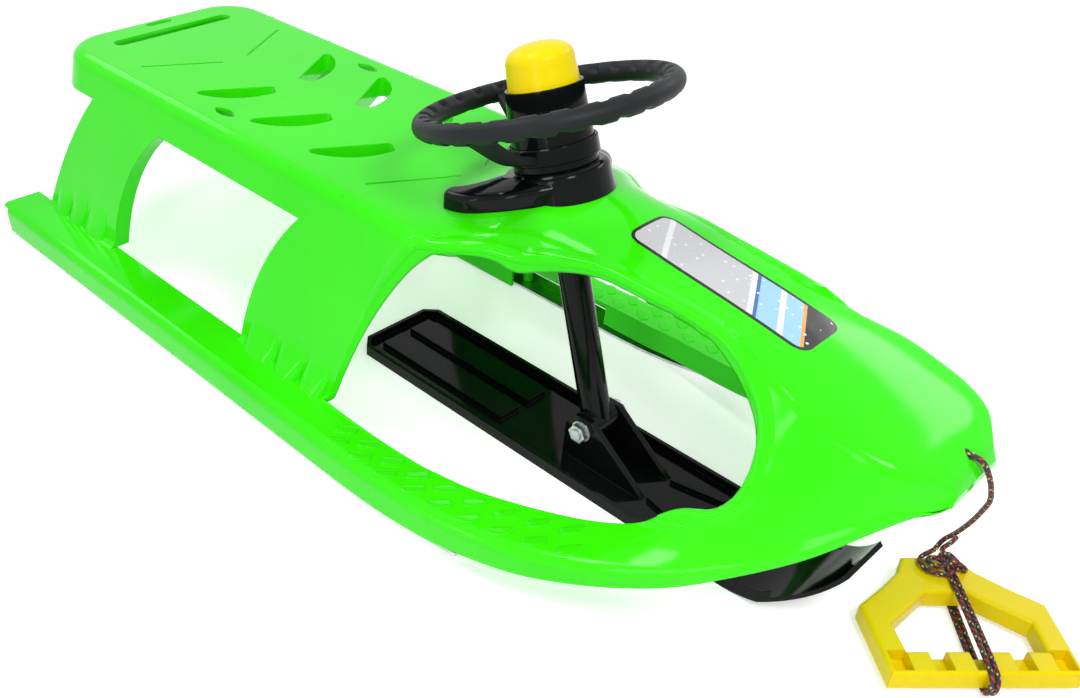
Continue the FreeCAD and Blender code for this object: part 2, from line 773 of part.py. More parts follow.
def new_body(label, placement):
    body = doc.addObject("PartDesign::Body", label)
    body.Placement = placement
    PIECES.append(body)
    return body


def new_sketch(body, role):
    """A sketch on one of the body's own origin planes."""
    sketch = body.newObject("Sketcher::SketchObject", f"{body.Name}_sketch")
    plane = next(item for item in body.Origin.OriginFeatures if item.Role == role)
    sketch.AttachmentSupport = [(plane, "")]
    sketch.MapMode = "FlatFace"
    return sketch


def pin(sketch, item, end, x, y):
    """Hold one point of a sketch at a place given by two expressions."""
    for kind, text in (("DistanceX", x), ("DistanceY", y)):
        number = float(sketch.evalExpression(bound(text)))
        index = sketch.addConstraint(Sketcher.Constraint(kind, -1, 1, item, end, number))
        sketch.setExpression(f"Constraints[{index}]", bound(text))


def outline(sketch, corners):
    """A closed outline whose corners are given by expressions."""
    places = [Vector(*[float(sketch.evalExpression(bound(text))) for text in corner]) for corner in corners]
    first = sketch.GeometryCount
    count = len(corners)
    for index in range(count):
        sketch.addGeometry(Part.LineSegment(places[index], places[(index + 1) % count]))
    for index, (x, y) in enumerate(corners):
        before = first + (index - 1) % count
        sketch.addConstraint(Sketcher.Constraint("Coincident", before, 2, first + index, 1))
        pin(sketch, first + index, 1, x, y)


def circle(sketch, x, y, radius):
    centre = Vector(*[float(sketch.evalExpression(bound(text))) for text in (x, y)])
    size = float(sketch.evalExpression(bound(radius)))
    item = sketch.addGeometry(Part.Circle(centre, UP, size))
    index = sketch.addConstraint(Sketcher.Constraint("Radius", item, size))
    sketch.setExpression(f"Constraints[{index}]", bound(radius))
    pin(sketch, item, 3, x, y)


def line_and_arc(sketch, flat, radius, angle):
    """A path that runs flat from the origin and then bends up along an arc."""
    length, size, turn = [float(sketch.evalExpression(bound(text))) for text in (flat, radius, angle)]
    start, centre = -math.pi / 2, Vector(length, size, 0)
    sketch.addGeometry(Part.LineSegment(Vector(), Vector(length, 0, 0)))
    sketch.addGeometry(Part.ArcOfCircle(Part.Circle(centre, UP, size), start, start + math.radians(turn)))
    pin(sketch, 0, 1, "0", "0")
    pin(sketch, 0, 2, flat, "0")
    sketch.addConstraint(Sketcher.Constraint("Coincident", 0, 2, 1, 1))
    pin(sketch, 1, 3, flat, radius)
    end = f"{flat} + {radius} * sin({angle})"
    index = sketch.addConstraint(
        Sketcher.Constraint("DistanceX", -1, 1, 1, 2, length + size * math.sin(math.radians(turn)))
    )
    sketch.setExpression(f"Constraints[{index}]", bound(end))


def add_feature(body, kind, sketch, **values):
    item = body.newObject(f"PartDesign::{kind}", f"{body.Name}_{kind.lower()}")
    item.Profile = sketch
    for name, value in values.items():
        if name in ("Length", "Angle"):
            item.setExpression(name, bound(value))
        else:
            setattr(item, name, value)
    return item


def revolve(body, corners, kind="Revolution"):
    """Turn an outline (radius, rise) about the body's own Z axis."""
    sketch = new_sketch(body, "XZ_Plane")
    outline(sketch, corners)
    item = add_feature(body, kind, sketch, ReferenceAxis=(sketch, ["V_Axis"]), Angle="360")
    doc.recompute()
    return item


def drill(body, role, x, y, radius, **values):
    """Cut one round hole."""
    sketch = new_sketch(body, role)
    circle(sketch, x, y, radius)
    item = add_feature(body, "Pocket", sketch, **values)
    doc.recompute()
    return item


def round_edges(body, base, wanted, radius):
    """Fillet the edges that a test picks."""
    names = [f"Edge{i}" for i, edge in enumerate(base.Shape.Edges, start=1) if wanted(edge)]
    item = body.newObject("PartDesign::Fillet", f"{body.Name}_fillet")
    item.Base = (base, names)
    item.setExpression("Radius", bound(radius))
    doc.recompute()
    return item


# Steel runners

STRIP_ARGS = ("strip_flat_length", "strip_rise_radius", "strip_rise_angle")


def runner_strip(label, side):
    """A flat steel bar that bends up at the front, countersunk for its screws."""
    place = Vector(s.strip_rear_gap, side * strip_y(), 0) + TO_MIDDLE
    body = new_body(label, Placement(place, Rotation()))
    spine = new_sketch(body, "XZ_Plane")
    line_and_arc(spine, *STRIP_ARGS)
    bar = new_sketch(body, "YZ_Plane")
    outline(bar, [("-strip_width / 2", "0"), ("strip_width / 2", "0"),
                  ("strip_width / 2", "strip_thick"), ("-strip_width / 2", "strip_thick")])
    add_feature(body, "AdditivePipe", bar, Spine=spine)
    holes = new_sketch(body, "XY_Plane")
    for share in STRIP_SCREW_SHARES:
        circle(holes, f"{share} * strip_flat_length", "0", "screw_radius + fit_gap")
    drilled = add_feature(body, "Pocket", holes, Type="ThroughAll", Midplane=True)
    doc.recompute()
    sunk = body.newObject("PartDesign::Chamfer", f"{label}_countersink")
    rims = [
        f"Edge{i}" for i, edge in enumerate(drilled.Shape.Edges, start=1)
        if edge.Curve.TypeId == "Part::GeomCircle" and edge.BoundBox.ZMax < s.fit_gap
        and edge.Curve.Radius < s.strip_width
    ]
    sunk.Base = (drilled, rims)
    sunk.setExpression("Size", bound("screw_head_radius - screw_radius + screw_recess"))
    doc.recompute()


def countersunk_screw(x, y):
    """A wood screw driven up through a strip."""
    low = Vector(x, y, s.screw_recess)
    depth = s.screw_head_radius - s.screw_radius
    head = Part.makeCone(s.screw_head_radius, s.screw_radius, depth, low)
    shank = Part.makeCylinder(s.screw_radius, s.screw_length - depth, low + UP * depth)
    return head.fuse(shank).removeSplitter()


# Cover over the column's slot in the hood

def column_cover(outer):
    """A crescent draped on the hood, with a round collar under the wheel's hub."""
    tall = s.deck_height + s.wheel_height
    disc = Part.makeCylinder(s.cover_radius, tall, Vector(s.cover_centre_x, 0, 0))
    notch = Part.makeCylinder(s.cover_notch_radius, tall, Vector(s.cover_notch_x, 0, 0))
    crescent = disc.cut(notch)
    tips = [
        edge for edge in crescent.Edges
        if edge.Curve.TypeId == "Part::GeomLine" and abs(edge.Vertexes[0].Y) > s.collar_radius
    ]
    crescent = crescent.makeFillet(s.cover_tip_radius, tips)
    raised = outer.translated(UP * s.cover_thick)
    crescent = crescent.common(raised)
    brow = [edge for edge in crescent.Edges if edge.BoundBox.ZMin > s.deck_height]
    crescent = crescent.makeFillet(s.cover_edge_radius, brow)
    collar = Part.makeCone(
        s.collar_radius, s.collar_top_radius, s.collar_height,
        on_axis(-s.collar_drop - s.collar_height), AXIS,
    )
    rim = max(collar.Edges, key=lambda edge: edge.CenterOfMass.z)
    collar = collar.makeFillet(s.collar_edge_radius, [rim])
    bore = axis_cylinder(s.column_radius + s.collar_bore_gap, -s.guide_bottom_drop, 0)
    pilot, deep = s.screw_radius + s.fit_gap, s.cover_screw_depth + s.running_gap
    pilots = cover_screw_post(outer, pilot, -s.wall, deep)
    above = axis_cylinder(s.collar_radius, -s.collar_drop, 0)
    return crescent.fuse(collar).cut([outer, bore, above] + pilots).removeSplitter()


def cover_screws(outer):
    """Pan-head screws that hold the cover from inside the hood."""
    low = -s.cover_boss_depth
    shanks = cover_screw_post(outer, s.screw_radius, low, s.cover_screw_depth)
    heads = cover_screw_post(outer, s.screw_head_radius, low - s.pan_head_thick, low)
    return [head.fuse(shank).removeSplitter() for head, shank in zip(heads, shanks)]


# Steering column

COLUMN_BORE = "column_radius + fit_gap"
PIVOT_DROP = "(wheel_height - pivot_height) / cos(rake_angle)"


def bush(label, seat, out):
    """A flanged plastic bush; out is + where its flange faces up the axis, - where it faces down."""
    into = "-" if out == "+" else "+"
    body = new_body(label, ON_AXIS)
    revolve(body, [
        (COLUMN_BORE, f"{seat} {into} bush_length"),
        ("bush_radius - fit_gap", f"{seat} {into} bush_length"),
        ("bush_radius - fit_gap", seat),
        ("bush_flange_radius", seat),
        ("bush_flange_radius", f"{seat} {out} bush_flange_thick"),
        (COLUMN_BORE, f"{seat} {out} bush_flange_thick"),
    ])


def ring(label, placement, inner, outer, low, high):
    """A flat ring between two heights."""
    body = new_body(label, placement)
    revolve(body, [(inner, low), (outer, low), (outer, high), (inner, high)])


def steering_column():
    """A tube from the hub down to an eye across the ski's pivot."""
    body = new_body("steering_column", ON_AXIS)
    inside, floor = "column_radius - column_wall", f"foot_eye_radius - {PIVOT_DROP}"
    revolve(body, [
        ("0", f"-{PIVOT_DROP}"), ("column_radius", f"-{PIVOT_DROP}"), ("column_radius", "-column_top_drop"),
        (inside, "-column_top_drop"), (inside, floor), ("0", floor),
    ])
    eye = new_sketch(body, "XZ_Plane")
    circle(eye, "0", f"-{PIVOT_DROP}", "foot_eye_radius")
    add_feature(body, "Pad", eye, Length="foot_eye_width", Midplane=True)
    doc.recompute()
    pin_hole = "pivot_radius + fit_gap"
    drill(body, "XZ_Plane", "0", f"-{PIVOT_DROP}", pin_hole, Type="ThroughAll", Midplane=True)
    drill(body, "YZ_Plane", "0", "-hub_screw_drop", "hub_screw_radius + fit_gap", Length="2 * column_radius")


# Steering wheel, hub and horn

HUB_BOTTOM = "(collar_drop - running_gap)"
FLOOR_TOP = "(hub_top_rise - horn_seat_depth - horn_travel - running_gap)"
FLOOR_BOTTOM = f"({FLOOR_TOP} - hub_floor_thick)"
HORN_RIM = "(hub_top_rise + horn_height - horn_crown)"
STEM_HOLE = "stem_radius + fit_gap"
BELLOWS_FOLDS = 4


def hub_side(rise):
    """Radius of the hub's cone at a rise above the wheel's plane."""
    share = f"({rise} + {HUB_BOTTOM}) / (hub_top_rise + {HUB_BOTTOM})"
    return f"hub_radius + (hub_top_radius - hub_radius) * {share}"


def wheel_hub():
    """A tapered hub on the column, with a well for the horn on top."""
    body = new_body("wheel_hub", ON_AXIS)
    revolve(body, [
        (COLUMN_BORE, f"-{HUB_BOTTOM}"), ("hub_radius", f"-{HUB_BOTTOM}"),
        ("hub_top_radius", "hub_top_rise"),
        ("horn_radius + horn_gap", "hub_top_rise"), ("horn_radius + horn_gap", FLOOR_TOP),
        (STEM_HOLE, FLOOR_TOP), (STEM_HOLE, FLOOR_BOTTOM), (COLUMN_BORE, FLOOR_BOTTOM),
    ])
    drill(body, "YZ_Plane", "0", "-hub_screw_drop", "hub_screw_radius + fit_gap", Length="2 * hub_radius")


def hub_screw():
    """A grub screw from the rear of the hub into the column."""
    screw = doc.addObject("Part::Cylinder", "hub_screw")
    screw.setExpression("Radius", bound("hub_screw_radius"))
    screw.setExpression("Height", bound("hub_top_radius - column_radius + column_wall"))
    start = Vector(s.column_wall - s.column_radius, 0, -s.hub_screw_drop)
    screw.Placement = ON_AXIS.multiply(Placement(start, Rotation(LEFT, -90)))
    PIECES.append(screw)


def steering_wheel():
    """A round rim on two dished spokes, with a ring that sits on the hub's cone."""
    turned = Placement(Vector(), Rotation(UP, s.spoke_angle))
    body = new_body("steering_wheel", ON_AXIS.multiply(turned))
    low, high = "(-spoke_root_drop - wheel_ring_height / 2)", "(-spoke_root_drop + wheel_ring_height / 2)"
    low_side, high_side = hub_side(low), hub_side(high)
    revolve(body, [
        (f"{low_side} + fit_gap", low), (f"{low_side} + wheel_ring_thick", low),
        (f"{high_side} + wheel_ring_thick", high), (f"{high_side} + fit_gap", high),
    ])
    spoke = new_sketch(body, "XZ_Plane")
    root, end = f"{low_side} + wheel_ring_thick / 2", "wheel_radius - rim_tube_radius / 2"
    half = "spoke_thick / 2"
    outline(spoke, [
        (root, f"-spoke_root_drop - {half}"), ("spoke_bend_radius", f"-spoke_bend_drop - {half}"),
        (end, f"-{half}"), (end, half),
        ("spoke_bend_radius", f"-spoke_bend_drop + {half}"), (root, f"-spoke_root_drop + {half}"),
    ])
    arm = add_feature(body, "Pad", spoke, Length="spoke_width", Midplane=True)
    doc.recompute()
    pattern = body.newObject("PartDesign::PolarPattern", "wheel_spokes")
    pattern.Originals = [arm]
    pattern.Axis = (spoke, ["V_Axis"])
    pattern.setExpression("Angle", bound("spoke_spread"))
    pattern.Occurrences = 2
    body.Tip = pattern
    doc.recompute()
    rim = new_sketch(body, "XZ_Plane")
    circle(rim, "wheel_radius", "0", "rim_tube_radius")
    add_feature(body, "Revolution", rim, ReferenceAxis=(rim, ["V_Axis"]), Angle="360")
    doc.recompute()


def horn_button():
    """A domed cap on a stem that slides in the hub's floor."""
    body = new_body("horn_button", ON_AXIS)
    low, roof = "hub_top_rise - horn_seat_depth", f"{HORN_RIM} - horn_wall"
    stem_end = f"{FLOOR_BOTTOM} - running_gap - 2 * clip_thick"
    cap = revolve(body, [
        ("horn_radius", low), ("horn_top_radius", HORN_RIM), ("0", f"{HORN_RIM} + horn_crown"),
        ("0", stem_end), ("stem_radius", stem_end), ("stem_radius", roof),
        ("horn_top_radius - horn_wall", roof), ("horn_radius - horn_wall", low),
    ])
    brim = s.hub_top_rise + s.horn_height - s.horn_crown
    round_edges(
        body, cap,
        lambda edge: edge.Curve.TypeId == "Part::GeomCircle" and abs(edge.Curve.Center.z - brim) < s.fit_gap,
        "horn_edge_radius",
    )


def horn_bellows():
    """The rubber bellows under the cap, which sounds the horn and pushes the cap back up."""
    body = new_body("horn_bellows", ON_AXIS)
    low, high = f"({FLOOR_TOP} + fit_gap)", f"({HORN_RIM} - horn_wall - fit_gap)"
    outside, inside = [], []
    for index in range(2 * BELLOWS_FOLDS + 1):
        rise = f"{low} + ({high} - {low}) * {index} / {2 * BELLOWS_FOLDS}"
        fold = "bellows_fold" if index % 2 else "0"
        outside.append((f"bellows_radius + {fold}", rise))
        inside.append((f"bellows_radius + {fold} - bellows_wall", rise))
    revolve(body, outside + inside[::-1])


# Front ski

PIVOT_X = "(wheel_x + (wheel_height - pivot_height) * tan(rake_angle) - ski_rear_x)"
SKI_END = "(ski_flat_length + ski_tip_radius * sin(ski_tip_angle))"


def ski_plate(body):
    """The ski's trough: a flat plate with a rim on each side, bent up at the tip."""
    spine = new_sketch(body, "XZ_Plane")
    line_and_arc(spine, "ski_flat_length", "ski_tip_radius", "ski_tip_angle")
    trough = new_sketch(body, "YZ_Plane")
    half, inner = "ski_width / 2", "ski_width / 2 - ski_rim_thick"
    outline(trough, [
        (f"-{half}", "0"), (half, "0"), (half, "ski_rim_height"), (inner, "ski_rim_height"),
        (inner, "ski_plate"), (f"-({inner})", "ski_plate"), (f"-({inner})", "ski_rim_height"),
        (f"-{half}", "ski_rim_height"),
    ])
    add_feature(body, "AdditivePipe", trough, Spine=spine)
    doc.recompute()


def mirrored_outlines(sketch, corners):
    """The same outline on both sides of the sketch's first axis."""
    for sign in ("", "-"):
        outline(sketch, [(x, f"{sign}({y})") for x, y in corners])


def ski_rear(body):
    """The rim across the rear end, and its two cut corners."""
    half, slant = "ski_width / 2", "ski_rim_thick / cos(45)"
    rear = new_sketch(body, "XY_Plane")
    outline(rear, [("0", f"-{half}"), ("ski_rim_thick", f"-{half}"), ("ski_rim_thick", half), ("0", half)])
    add_feature(body, "Pad", rear, Length="ski_rim_height")
    doc.recompute()
    corners = new_sketch(body, "XY_Plane")
    mirrored_outlines(corners, [
        ("0", f"{half} - ski_corner"), ("ski_corner", half), (f"ski_corner + {slant}", half),
        ("0", f"{half} - ski_corner - {slant}"),
    ])
    add_feature(body, "Pad", corners, Length="ski_rim_height")
    doc.recompute()
    cuts = new_sketch(body, "XY_Plane")
    mirrored_outlines(cuts, [
        ("-cut_overrun", f"{half} - ski_corner - cut_overrun"),
        ("ski_corner + cut_overrun", f"{half} + cut_overrun"), ("-cut_overrun", f"{half} + cut_overrun"),
    ])
    add_feature(body, "Pocket", cuts, Type="ThroughAll", Midplane=True)
    doc.recompute()


def ski_trims(body):
    """The two raised channels, the ridges forward of the fork and the tapered tip."""
    channels = new_sketch(body, "XY_Plane")
    start, end = "ski_channel_start", "ski_channel_start + ski_channel_length"
    near, far = "ski_channel_gap / 2", "ski_channel_gap / 2 + ski_channel_width"
    mirrored_outlines(channels, [(start, near), (end, near), (end, far), (start, far)])
    add_feature(body, "Pad", channels, Length="ski_plate + ski_channel_height")
    doc.recompute()
    ridges = new_sketch(body, "XY_Plane")
    start, end = f"{PIVOT_X} + bracket_length - bracket_rear", "ski_flat_length"
    mirrored_outlines(ridges, [
        (start, "ski_ridge_near"), (end, "ski_ridge_far"), (end, "ski_ridge_far + ski_ridge_width"),
        (start, "ski_ridge_near + ski_ridge_width"),
    ])
    add_feature(body, "Pad", ridges, Length="ski_plate + ski_ridge_height")
    doc.recompute()
    tip = new_sketch(body, "XY_Plane")
    taper, past = f"{SKI_END} - ski_tip_taper", f"{SKI_END} + cut_overrun"
    mirrored_outlines(tip, [
        (taper, "ski_width / 2"), (past, "ski_tip_width / 2"), (past, "ski_width"), (taper, "ski_width"),
    ])
    add_feature(body, "Pocket", tip, Type="ThroughAll", Midplane=True)
    doc.recompute()


def ski_bracket(body):
    """The fork that holds the column's foot, with a gusset running forward."""
    side = new_sketch(body, "XZ_Plane")
    back, front = f"{PIVOT_X} - bracket_rear", f"{PIVOT_X} + bracket_length - bracket_rear"
    top = "pivot_height + bracket_top"
    outline(side, [
        (back, "ski_plate / 2"), (back, "pivot_height"), (f"{PIVOT_X} - bracket_rear / 2", top),
        (f"{PIVOT_X} + bracket_rear / 2", top), (front, "ski_plate / 2"),
    ])
    gap = "foot_eye_width + 2 * bracket_side_gap"
    add_feature(body, "Pad", side, Length=f"{gap} + 2 * bracket_plate", Midplane=True)
    doc.recompute()
    slot = new_sketch(body, "XZ_Plane")
    outline(slot, [
        (f"{back} - cut_overrun", "ski_plate"), (f"{front} + cut_overrun", "ski_plate"),
        (f"{front} + cut_overrun", f"{top} + cut_overrun"),
        (f"{back} - cut_overrun", f"{top} + cut_overrun"),
    ])
    add_feature(body, "Pocket", slot, Length=gap, Midplane=True)
    doc.recompute()
    drill(
        body, "XZ_Plane", PIVOT_X, "pivot_height", "pivot_radius + fit_gap",
        Type="ThroughAll", Midplane=True,
    )


def front_ski():
    body = new_body("front_ski", Placement(Vector(s.ski_rear_x, 0, 0) + TO_MIDDLE, Rotation()))
    ski_plate(body)
    ski_rear(body)
    ski_trims(body)
    ski_bracket(body)


def pivot_pieces():
    """Bolt, nut and washers across the fork. They are drawn about Z and laid along Y."""
    pivot_x = s.wheel_x + (s.wheel_height - s.pivot_height) * math.tan(RAKE)
    across = Placement(Vector(pivot_x, 0, s.pivot_height) + TO_MIDDLE, Rotation(FORWARD, 90))
    fork = "(foot_eye_width / 2 + bracket_side_gap + bracket_plate)"
    end = f"({fork} + washer_thick)"
    bolt = new_body("ski_pivot_bolt", across)
    revolve(bolt, [
        ("0", f"-{end} - pivot_head_thick"), ("pivot_head_radius", f"-{end} - pivot_head_thick"),
        ("pivot_head_radius", f"-{end}"), ("pivot_radius", f"-{end}"),
        ("pivot_radius", f"{end} + pivot_head_thick + bolt_end"),
        ("0", f"{end} + pivot_head_thick + bolt_end"),
    ])
    nut = new_body("ski_pivot_nut", across)
    hexagon = new_sketch(nut, "XY_Plane")
    corners = []
    for index in range(6):
        corners.append((f"pivot_head_radius * cos({60 * index})", f"pivot_head_radius * sin({60 * index})"))
    outline(hexagon, corners)
    circle(hexagon, "0", "0", "pivot_radius + fit_gap")
    add_feature(nut, "Pad", hexagon, Length="pivot_head_thick")
    doc.recompute()
    lift = s.foot_eye_width / 2 + s.bracket_side_gap + s.bracket_plate + s.washer_thick
    nut.Placement = across.multiply(Placement(UP * lift, Rotation()))
    for label, low, high in (
        ("ski_pivot_washer_left", f"-{end}", f"-{fork}"), ("ski_pivot_washer_right", fork, end)
    ):
        ring(label, across, "pivot_radius + fit_gap", "washer_radius", low, high)


# Rope and handle

ROPE_ROUTE = (
    (1006, 0, 183.6), (1014, 0, 184.5), (1024.5, 0.2, 185), (1034, 2.5, 184), (1040.5, 9.5, 168),
    (1042.5, 19, 151), (1042, 28, 137), (1037.5, 41, 119), (1030, 58, 91), (1020.5, 75, 63), (1014, 85, 47),
    (1009, 87, 37.5), (1008, 82, 30),
)


def bend_radii(points):
    """Radius of the arc at each inner point of a route: as large as its two runs allow."""
    radii = []
    for before, corner, after in zip(points, points[1:], points[2:]):
        into, out = corner - before, after - corner
        radii.append(CORNER_SHARE * min(into.Length, out.Length) / math.tan(into.getAngle(out) / 2))
    return radii


def tube(points, radius):
    """A round tube along straight runs joined by tangent arcs."""
    radii = bend_radii(points)
    path = Part.Wire([edge.toShape() for edge in rounded_line(points, radii)])
    start = (points[1] - points[0]).normalize()
    ring_wire = Part.Wire(Part.makeCircle(radius, points[0], start))
    solid = path.makePipeShell([ring_wire], True, False)
    share = solid.Volume / (math.pi * radius ** 2 * path.Length)
    tightest = round(min(radii), 1)
    print("tube length", round(path.Length), "tightest bend", tightest, "volume share", round(share, 4))
    return solid


POCKET_PLACES = (-2, -1, 0, 1, 2)


def ring_outline(sketch, side):
    """A closed outline that is the same on both sides, from the corners of one side."""
    outline(sketch, [(x, f"-({y})") for x, y in side] + side[::-1])


def pull_handle():
    """A flat ring handle with a waisted top and square pockets along its grip."""
    place = Vector(s.handle_x, s.handle_y, s.handle_lift) + TO_MIDDLE
    body = new_body("pull_handle", Placement(place, Rotation(UP, s.handle_angle)))
    plan = new_sketch(body, "XY_Plane")
    top, half, foot = "handle_top_width / 2", "handle_width / 2", "handle_bottom_width / 2"
    ring_outline(plan, [
        ("0", top), ("handle_neck_along", "handle_neck_half"), ("handle_waist_along", "handle_waist_half"),
        ("handle_shoulder", half), ("handle_length", foot),
    ])
    grip = "handle_length - handle_grip_bar"
    ring_outline(plan, [
        ("handle_top_bar", f"{top} - handle_side_bar / 3"),
        ("handle_shoulder + handle_side_bar", f"{half} - handle_side_bar"),
        (grip, f"{foot} - handle_side_bar"),
    ])
    plate = add_feature(body, "Pad", plan, Length="handle_thick")
    doc.recompute()
    round_edges(
        body, plate,
        lambda edge: abs(edge.tangentAt(edge.FirstParameter).z) < CORNER_SHARE, "handle_edge_radius",
    )
    pockets = new_sketch(body, "XY_Plane")
    pockets.setExpression("AttachmentOffset.Base.z", bound("handle_thick"))
    near, far = f"{grip} - cut_overrun", "handle_length - handle_pocket_wall"
    for place_number in POCKET_PLACES:
        middle = f"{place_number} * handle_pocket_pitch"
        low, high = f"{middle} - handle_pocket / 2", f"{middle} + handle_pocket / 2"
        start = grip if abs(place_number) == max(POCKET_PLACES) else near
        outline(pockets, [(start, low), (far, low), (far, high), (start, high)])
    add_feature(body, "Pocket", pockets, Length="handle_pocket_depth")
    doc.recompute()


def on_handle(along, across, height):
    """A point given along and across the handle and above the ground."""
    turn = Rotation(UP, s.handle_angle)
    return Vector(s.handle_x, s.handle_y, height) + turn.multVec(Vector(along, across, 0))


WINDING_TURNS = 2
EDGE_TURN_SHARES = ((0.414, 1.0), (1.0, 0.414), (1.0, -0.414), (0.414, -1.0))


def winding_route():
    """Turns of rope wound lengthwise round the handle, side by side."""
    middle = s.handle_lift + s.handle_thick / 2
    tall = s.handle_thick / 2 + s.rope_radius + s.rope_gap
    step = s.winding_pitch / 2
    across = s.winding_start
    points = [on_handle(s.winding_along, across, middle + tall)]
    for end, way in ((s.handle_length, 1), (0, -1)) * WINDING_TURNS:
        across += step
        for out, up in EDGE_TURN_SHARES:
            along = end + way * (out * tall - s.winding_inset)
            lean = s.winding_slant * along / s.handle_length
            points.append(on_handle(along, across + lean, middle + way * up * tall))
    points.append(on_handle(s.winding_along, across + step, middle + tall))
    return points


def least_gap(points, radius):
    """Least clear distance between a tube's turns, measured on points along its path."""
    path = Part.Wire([edge.toShape() for edge in rounded_line(points, bend_radii(points))])
    places = path.discretize(Distance=radius)
    apart = round(math.pi * s.handle_thick / radius)
    nearest = min(
        place.distanceToPoint(other)
        for index, place in enumerate(places)
        for other in places[index + apart:]
    )
    return nearest - 2 * radius


def rope_hitch():
    """The lump of the knot on the handle's top bar."""
    height = s.handle_lift + s.handle_thick
    place = on_handle(s.hitch_along, s.hitch_across, height) + TO_MIDDLE
    body = new_body("rope_hitch", Placement(place, Rotation(UP, s.handle_angle)))
    plan = new_sketch(body, "XY_Plane")
    long, wide = "hitch_length / 2", "hitch_width / 2"
    outline(plan, [(f"-{long}", f"-{wide}"), (long, f"-{wide}"), (long, wide), (f"-{long}", wide)])
    lump = add_feature(body, "Pad", plan, Length="hitch_height")
    doc.recompute()
    round_edges(body, lump, lambda edge: edge.BoundBox.ZMax > s.hitch_edge_radius, "hitch_edge_radius")


# Assembly

OUTER, shell_shape = body_shell()
feature("body_shell", shell_shape)
runner_strip("runner_strip_left", 1)
runner_strip("runner_strip_right", -1)
feature("runner_strip_screws", Part.makeCompound([countersunk_screw(x, y) for x, y in screw_places()]))
feature("column_cover", column_cover(OUTER))
feature("cover_screws", Part.makeCompound(cover_screws(OUTER)))
bush("upper_bush", "-guide_top_drop", "+")
bush("lower_bush", "-guide_bottom_drop", "-")
steering_column()
KEEPER_TOP = "-guide_bottom_drop - bush_flange_thick - running_gap"
ring("column_keeper", ON_AXIS, COLUMN_BORE, "keeper_radius", f"{KEEPER_TOP} - keeper_thick", KEEPER_TOP)
wheel_hub()
hub_screw()
steering_wheel()
horn_button()
horn_bellows()
CLIP_TOP = f"{FLOOR_BOTTOM} - running_gap"
ring("horn_clip", ON_AXIS, STEM_HOLE, "clip_radius", f"{CLIP_TOP} - clip_thick", CLIP_TOP)
front_ski()
pivot_pieces()
pull_handle()
rope_hitch()
route = [Vector(*point) for point in ROPE_ROUTE]
feature("pull_rope", tube(route, s.rope_radius))
feature("rope_winding", tube(winding_route(), s.rope_radius))
print("least gap between turns", round(least_gap(winding_route(), s.rope_radius), 2))
feature("rope_stop_knot", Part.makeSphere(s.stop_knot_radius, route[0]))

doc.recompute()
failed = [obj.Label for obj in doc.Objects if {"Invalid", "Error"} & set(obj.State)]
failed += [obj.Label for obj in PIECES if obj.Shape.isNull() or not obj.Shape.isValid()]
if failed:
    raise RuntimeError(f"failed objects: {failed}")
os.makedirs("parts", exist_ok=True)
for obj in PIECES:
    obj.Shape.exportStep(f"parts/{obj.Label}.step")
    print(obj.Label, len(obj.Shape.Solids), round(obj.Shape.Volume))
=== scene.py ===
"""Looks of the steering sled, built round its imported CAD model."""
import json
import math

import bpy
from mathutils import Matrix, Vector
from mathutils.bvhtree import BVHTree


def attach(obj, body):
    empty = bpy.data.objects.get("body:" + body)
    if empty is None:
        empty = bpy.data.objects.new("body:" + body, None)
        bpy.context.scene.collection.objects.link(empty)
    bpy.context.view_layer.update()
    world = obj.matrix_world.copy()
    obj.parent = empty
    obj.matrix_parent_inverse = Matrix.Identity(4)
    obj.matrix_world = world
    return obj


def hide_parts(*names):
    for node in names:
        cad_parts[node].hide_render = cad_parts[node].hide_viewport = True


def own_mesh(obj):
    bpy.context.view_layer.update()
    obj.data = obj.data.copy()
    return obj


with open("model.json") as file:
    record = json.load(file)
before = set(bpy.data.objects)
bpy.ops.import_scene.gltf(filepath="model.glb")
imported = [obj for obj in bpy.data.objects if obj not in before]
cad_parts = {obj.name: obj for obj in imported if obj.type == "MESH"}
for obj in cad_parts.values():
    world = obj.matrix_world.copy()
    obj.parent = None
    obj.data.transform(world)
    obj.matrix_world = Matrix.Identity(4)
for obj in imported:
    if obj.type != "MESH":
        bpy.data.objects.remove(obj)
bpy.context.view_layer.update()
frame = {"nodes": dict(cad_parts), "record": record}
NODES = frame["nodes"]
MM = 0.001
REAR = Vector((-517.5, 0, 0))  # the runners' rear ends in the model's frame, in mm

# Steering axis, and the directions across it
WHEEL_CENTRE = Vector((119.5, 0, 309)) * MM
RAKE = math.radians(18.8)
AXIS = Vector((-math.sin(RAKE), 0, math.cos(RAKE)))
WHEEL_FORWARD = Vector((math.cos(RAKE), 0, math.sin(RAKE)))
WHEEL_LEFT = Vector((0, 1, 0))


def at(x, y, z):
    """A point measured in mm from the runners' rear ends, in the model's frame."""
    return (Vector((x, y, z)) + REAR) * MM


# Shader helpers

def new_material(name):
    material = bpy.data.materials.new(name)
    material.use_nodes = True
    tree = material.node_tree
    return material, tree, tree.nodes["Principled BSDF"]


def add(tree, kind, inputs=None, **settings):
    """A node with its settings, its sockets set to values or linked to other sockets."""
    node = tree.nodes.new(kind)
    for key, value in settings.items():
        setattr(node, key, value)
    for key, value in (inputs or {}).items():
        if isinstance(value, bpy.types.NodeSocket):
            tree.links.new(value, node.inputs[key])
        else:
            node.inputs[key].default_value = value
    return node


def maths(tree, operation, *values):
    return add(tree, "ShaderNodeMath", dict(enumerate(values)), operation=operation).outputs[0]


def noise(tree, place, scale, detail=3.0, roughness=0.5):
    values = {"Vector": place, "Scale": scale, "Detail": detail, "Roughness": roughness}
    return add(tree, "ShaderNodeTexNoise", values).outputs["Fac"]


